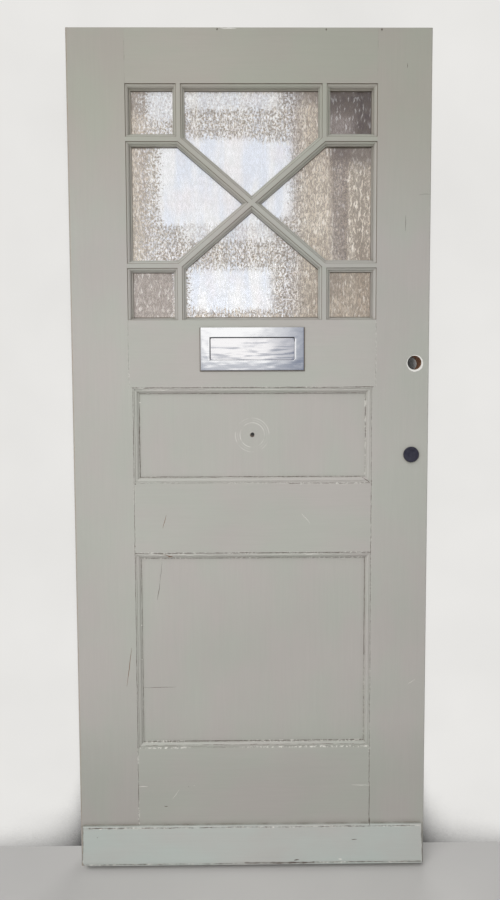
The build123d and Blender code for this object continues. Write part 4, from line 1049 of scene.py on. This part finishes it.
def makeSpring():
    x, y, z = spring["pin"]
    start = x - spring["length"] / 2
    deselectAll()
    bpy.ops.mesh.primitive_circle_add(
        vertices=spring["sides"],
        radius=spring["wireRadius"],
        location=(start, y, z),
        rotation=(math.pi / 2, 0, 0),
    )
    coil = bpy.context.active_object
    coil.name = "flap_spring_coil"
    bpy.ops.object.transform_apply(location=False, rotation=True, scale=True)
    bpy.ops.object.mode_set(mode="EDIT")
    bpy.ops.mesh.select_all(action="SELECT")
    bpy.ops.transform.translate(value=(0, 0, -spring["coilRadius"]))
    bpy.ops.object.mode_set(mode="OBJECT")
    wound = coil.modifiers.new("wound", "SCREW")
    wound.axis = "X"
    wound.angle = -math.tau
    wound.screw_offset = spring["length"] / spring["turns"]
    wound.iterations = spring["turns"]
    wound.steps = wound.render_steps = spring["steps"]
    wound.use_merge_vertices = False
    bpy.ops.object.modifier_apply(modifier="wound")
    bpy.ops.object.transform_apply(location=True, rotation=True, scale=True)
    end = x + spring["length"] / 2
    at = Vector((end, y, z - spring["coilRadius"]))
    for v in coil.data.vertices:
        v.select = (v.co - at).length < spring["wireRadius"] * 1.05
    for edge in coil.data.edges:
        edge.select = all(coil.data.vertices[k].select for k in edge.vertices)
    for face in coil.data.polygons:
        face.select = False
    bpy.ops.object.mode_set(mode="EDIT")
    bpy.ops.mesh.select_mode(type="EDGE")
    for dy, dz, turn in spring["leg"]:
        at = at + Vector((0, dy, dz))
        bpy.ops.mesh.extrude_region_move(TRANSFORM_OT_translate={"value": (0, dy, dz)})
        if turn:
            bpy.ops.transform.rotate(
                value=-math.radians(turn), orient_axis="X", orient_type="GLOBAL", center_override=at
            )
    bpy.ops.mesh.edge_face_add()
    bpy.ops.mesh.select_all(action="DESELECT")
    bpy.ops.mesh.select_non_manifold()
    bpy.ops.mesh.edge_face_add()
    bpy.ops.mesh.select_all(action="SELECT")
    bpy.ops.mesh.normals_make_consistent(inside=False)
    bpy.ops.object.mode_set(mode="OBJECT")
    bpy.ops.object.shade_smooth_by_angle(angle=math.radians(spring["smooth"]))
    dress(coil, steel)
    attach(coil, "letter_flap")
    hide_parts("flap_spring")


makeSpring()
print("spring wound")


def stageMaterial(name, colour, hidden):
    material = bpy.data.materials.new(name)
    material.use_nodes = True
    tree = material.node_tree
    tree.nodes.clear()
    place = tree.nodes.new("ShaderNodeTexCoord").outputs["Object"]
    mottled = held(tree, speckle(tree, place, 3.0, 3), 0.3, 0.7, 0.97, 1.03)
    tone = moves(tree, "SCALE", colour[:3], mottled)
    shown = put(tree, "ShaderNodeBsdfDiffuse", {"Color": tone}).outputs[0]
    if hidden:
        # shows itself only from in front and lets the light on the leaf's back pass; it glows with its own colour,
        # darker close behind the leaf as a painted shadow, and glows plain white as painted light to rays through the
        # glass
        path = tree.nodes.new("ShaderNodeLightPath").outputs
        through = path["Is Transmission Ray"]
        wires = {"Distance": studio["wallShadeReach"]}
        opened = put(tree, "ShaderNodeAmbientOcclusion", wires, samples=16).outputs["AO"]
        shaded = moves(tree, "SCALE", tone, held(tree, opened, *studio["wallShade"]))
        # the wall glows, with a painted shadow where it is closed in
        lit = glow(tree, "ShaderNodeEmission", shaded)
        # painted light: a plain white glow for rays through the glass
        lamp = glow(tree, "ShaderNodeEmission", white)
        clear = tree.nodes.new("ShaderNodeBsdfTransparent").outputs[0]
        seen = sums(tree, "MAXIMUM", path["Is Camera Ray"], path["Is Glossy Ray"])
        seen = sums(tree, "MAXIMUM", seen, through)
        back = tree.nodes.new("ShaderNodeNewGeometry").outputs["Backfacing"]
        shown = layered(tree, seen, clear, layered(tree, through, lit, lamp))
        shown = layered(tree, back, shown, clear)
    put(tree, "ShaderNodeOutputMaterial", {0: shown})
    return material


def makeStage():
    span = studio["span"]
    deselectAll()
    bpy.ops.mesh.primitive_plane_add(size=span, location=(0, 0, 0))
    floor = bpy.context.active_object
    floor.name = "floor"
    floor.visible_glossy = False  # the metal mirrors the daylight's own dark ground
    dress(floor, stageMaterial("floorPaint", studio["floorColour"], False))
    deselectAll()
    at = (0, studio["wallBehind"], span / 2)
    bpy.ops.mesh.primitive_plane_add(size=span, location=at, rotation=(math.pi / 2, 0, 0))
    wall = bpy.context.active_object
    wall.name = "wall"
    dress(wall, stageMaterial("wallPaint", studio["wallColour"], True))


def makeLamp(name, kind, place, target, power, width):
    data = bpy.data.lights.new(name, kind)
    data.energy = power
    if kind == "SUN":
        data.angle = math.radians(width)
    else:
        data.size = width
    thing = linked(name, data)
    thing.location = place
    thing.rotation_euler = (Vector(target) - Vector(place)).to_track_quat("-Z", "Y").to_euler()
    thing.visible_glossy = False  # the metal mirrors the daylight, not the lamps


def makeWorld():
    # even daylight; metal and glass mirror it slate low down and to the right, and dark where the ground would be
    world = bpy.data.worlds.new("daylight")
    bpy.context.scene.world = world
    world.use_nodes = True
    tree = world.node_tree
    tree.nodes.clear()
    way = tree.nodes.new("ShaderNodeTexCoord").outputs["Generated"]
    parts = split(tree, way)

    def faded(kind):
        return [held(tree, parts[axis], *band) for axis, *band in studio[kind]]

    seen = mixed(tree, product(tree, *faded("mirrorFades")), studio["mirrorDark"], white)
    seen = mixed(tree, product(tree, *faded("cornerFades")), seen, studio["mirrorDark"])
    seen = mixed(tree, held(tree, parts[0], *studio["leftFade"]), seen, studio["mirrorLeft"])
    seen = mixed(tree, sums(tree, "MAXIMUM", *faded("groundFades")), seen, studio["mirrorGround"])
    path = tree.nodes.new("ShaderNodeLightPath").outputs
    shining = glow(tree, "ShaderNodeBackground", seen)
    plain = glow(tree, "ShaderNodeBackground", white, studio["daylight"])
    pale = glow(tree, "ShaderNodeBackground", studio["backdrop"])
    through = sums(tree, "MAXIMUM", path["Is Camera Ray"], path["Is Transmission Ray"])
    shown = layered(tree, through, layered(tree, path["Is Glossy Ray"], plain, shining), pale)
    put(tree, "ShaderNodeOutputWorld", {0: shown})


makeStage()
for name, lamp in studio["lamps"].items():
    makeLamp(name, *lamp)
makeWorld()
bpy.context.scene.view_settings.view_transform = "Standard"
print("room lit")
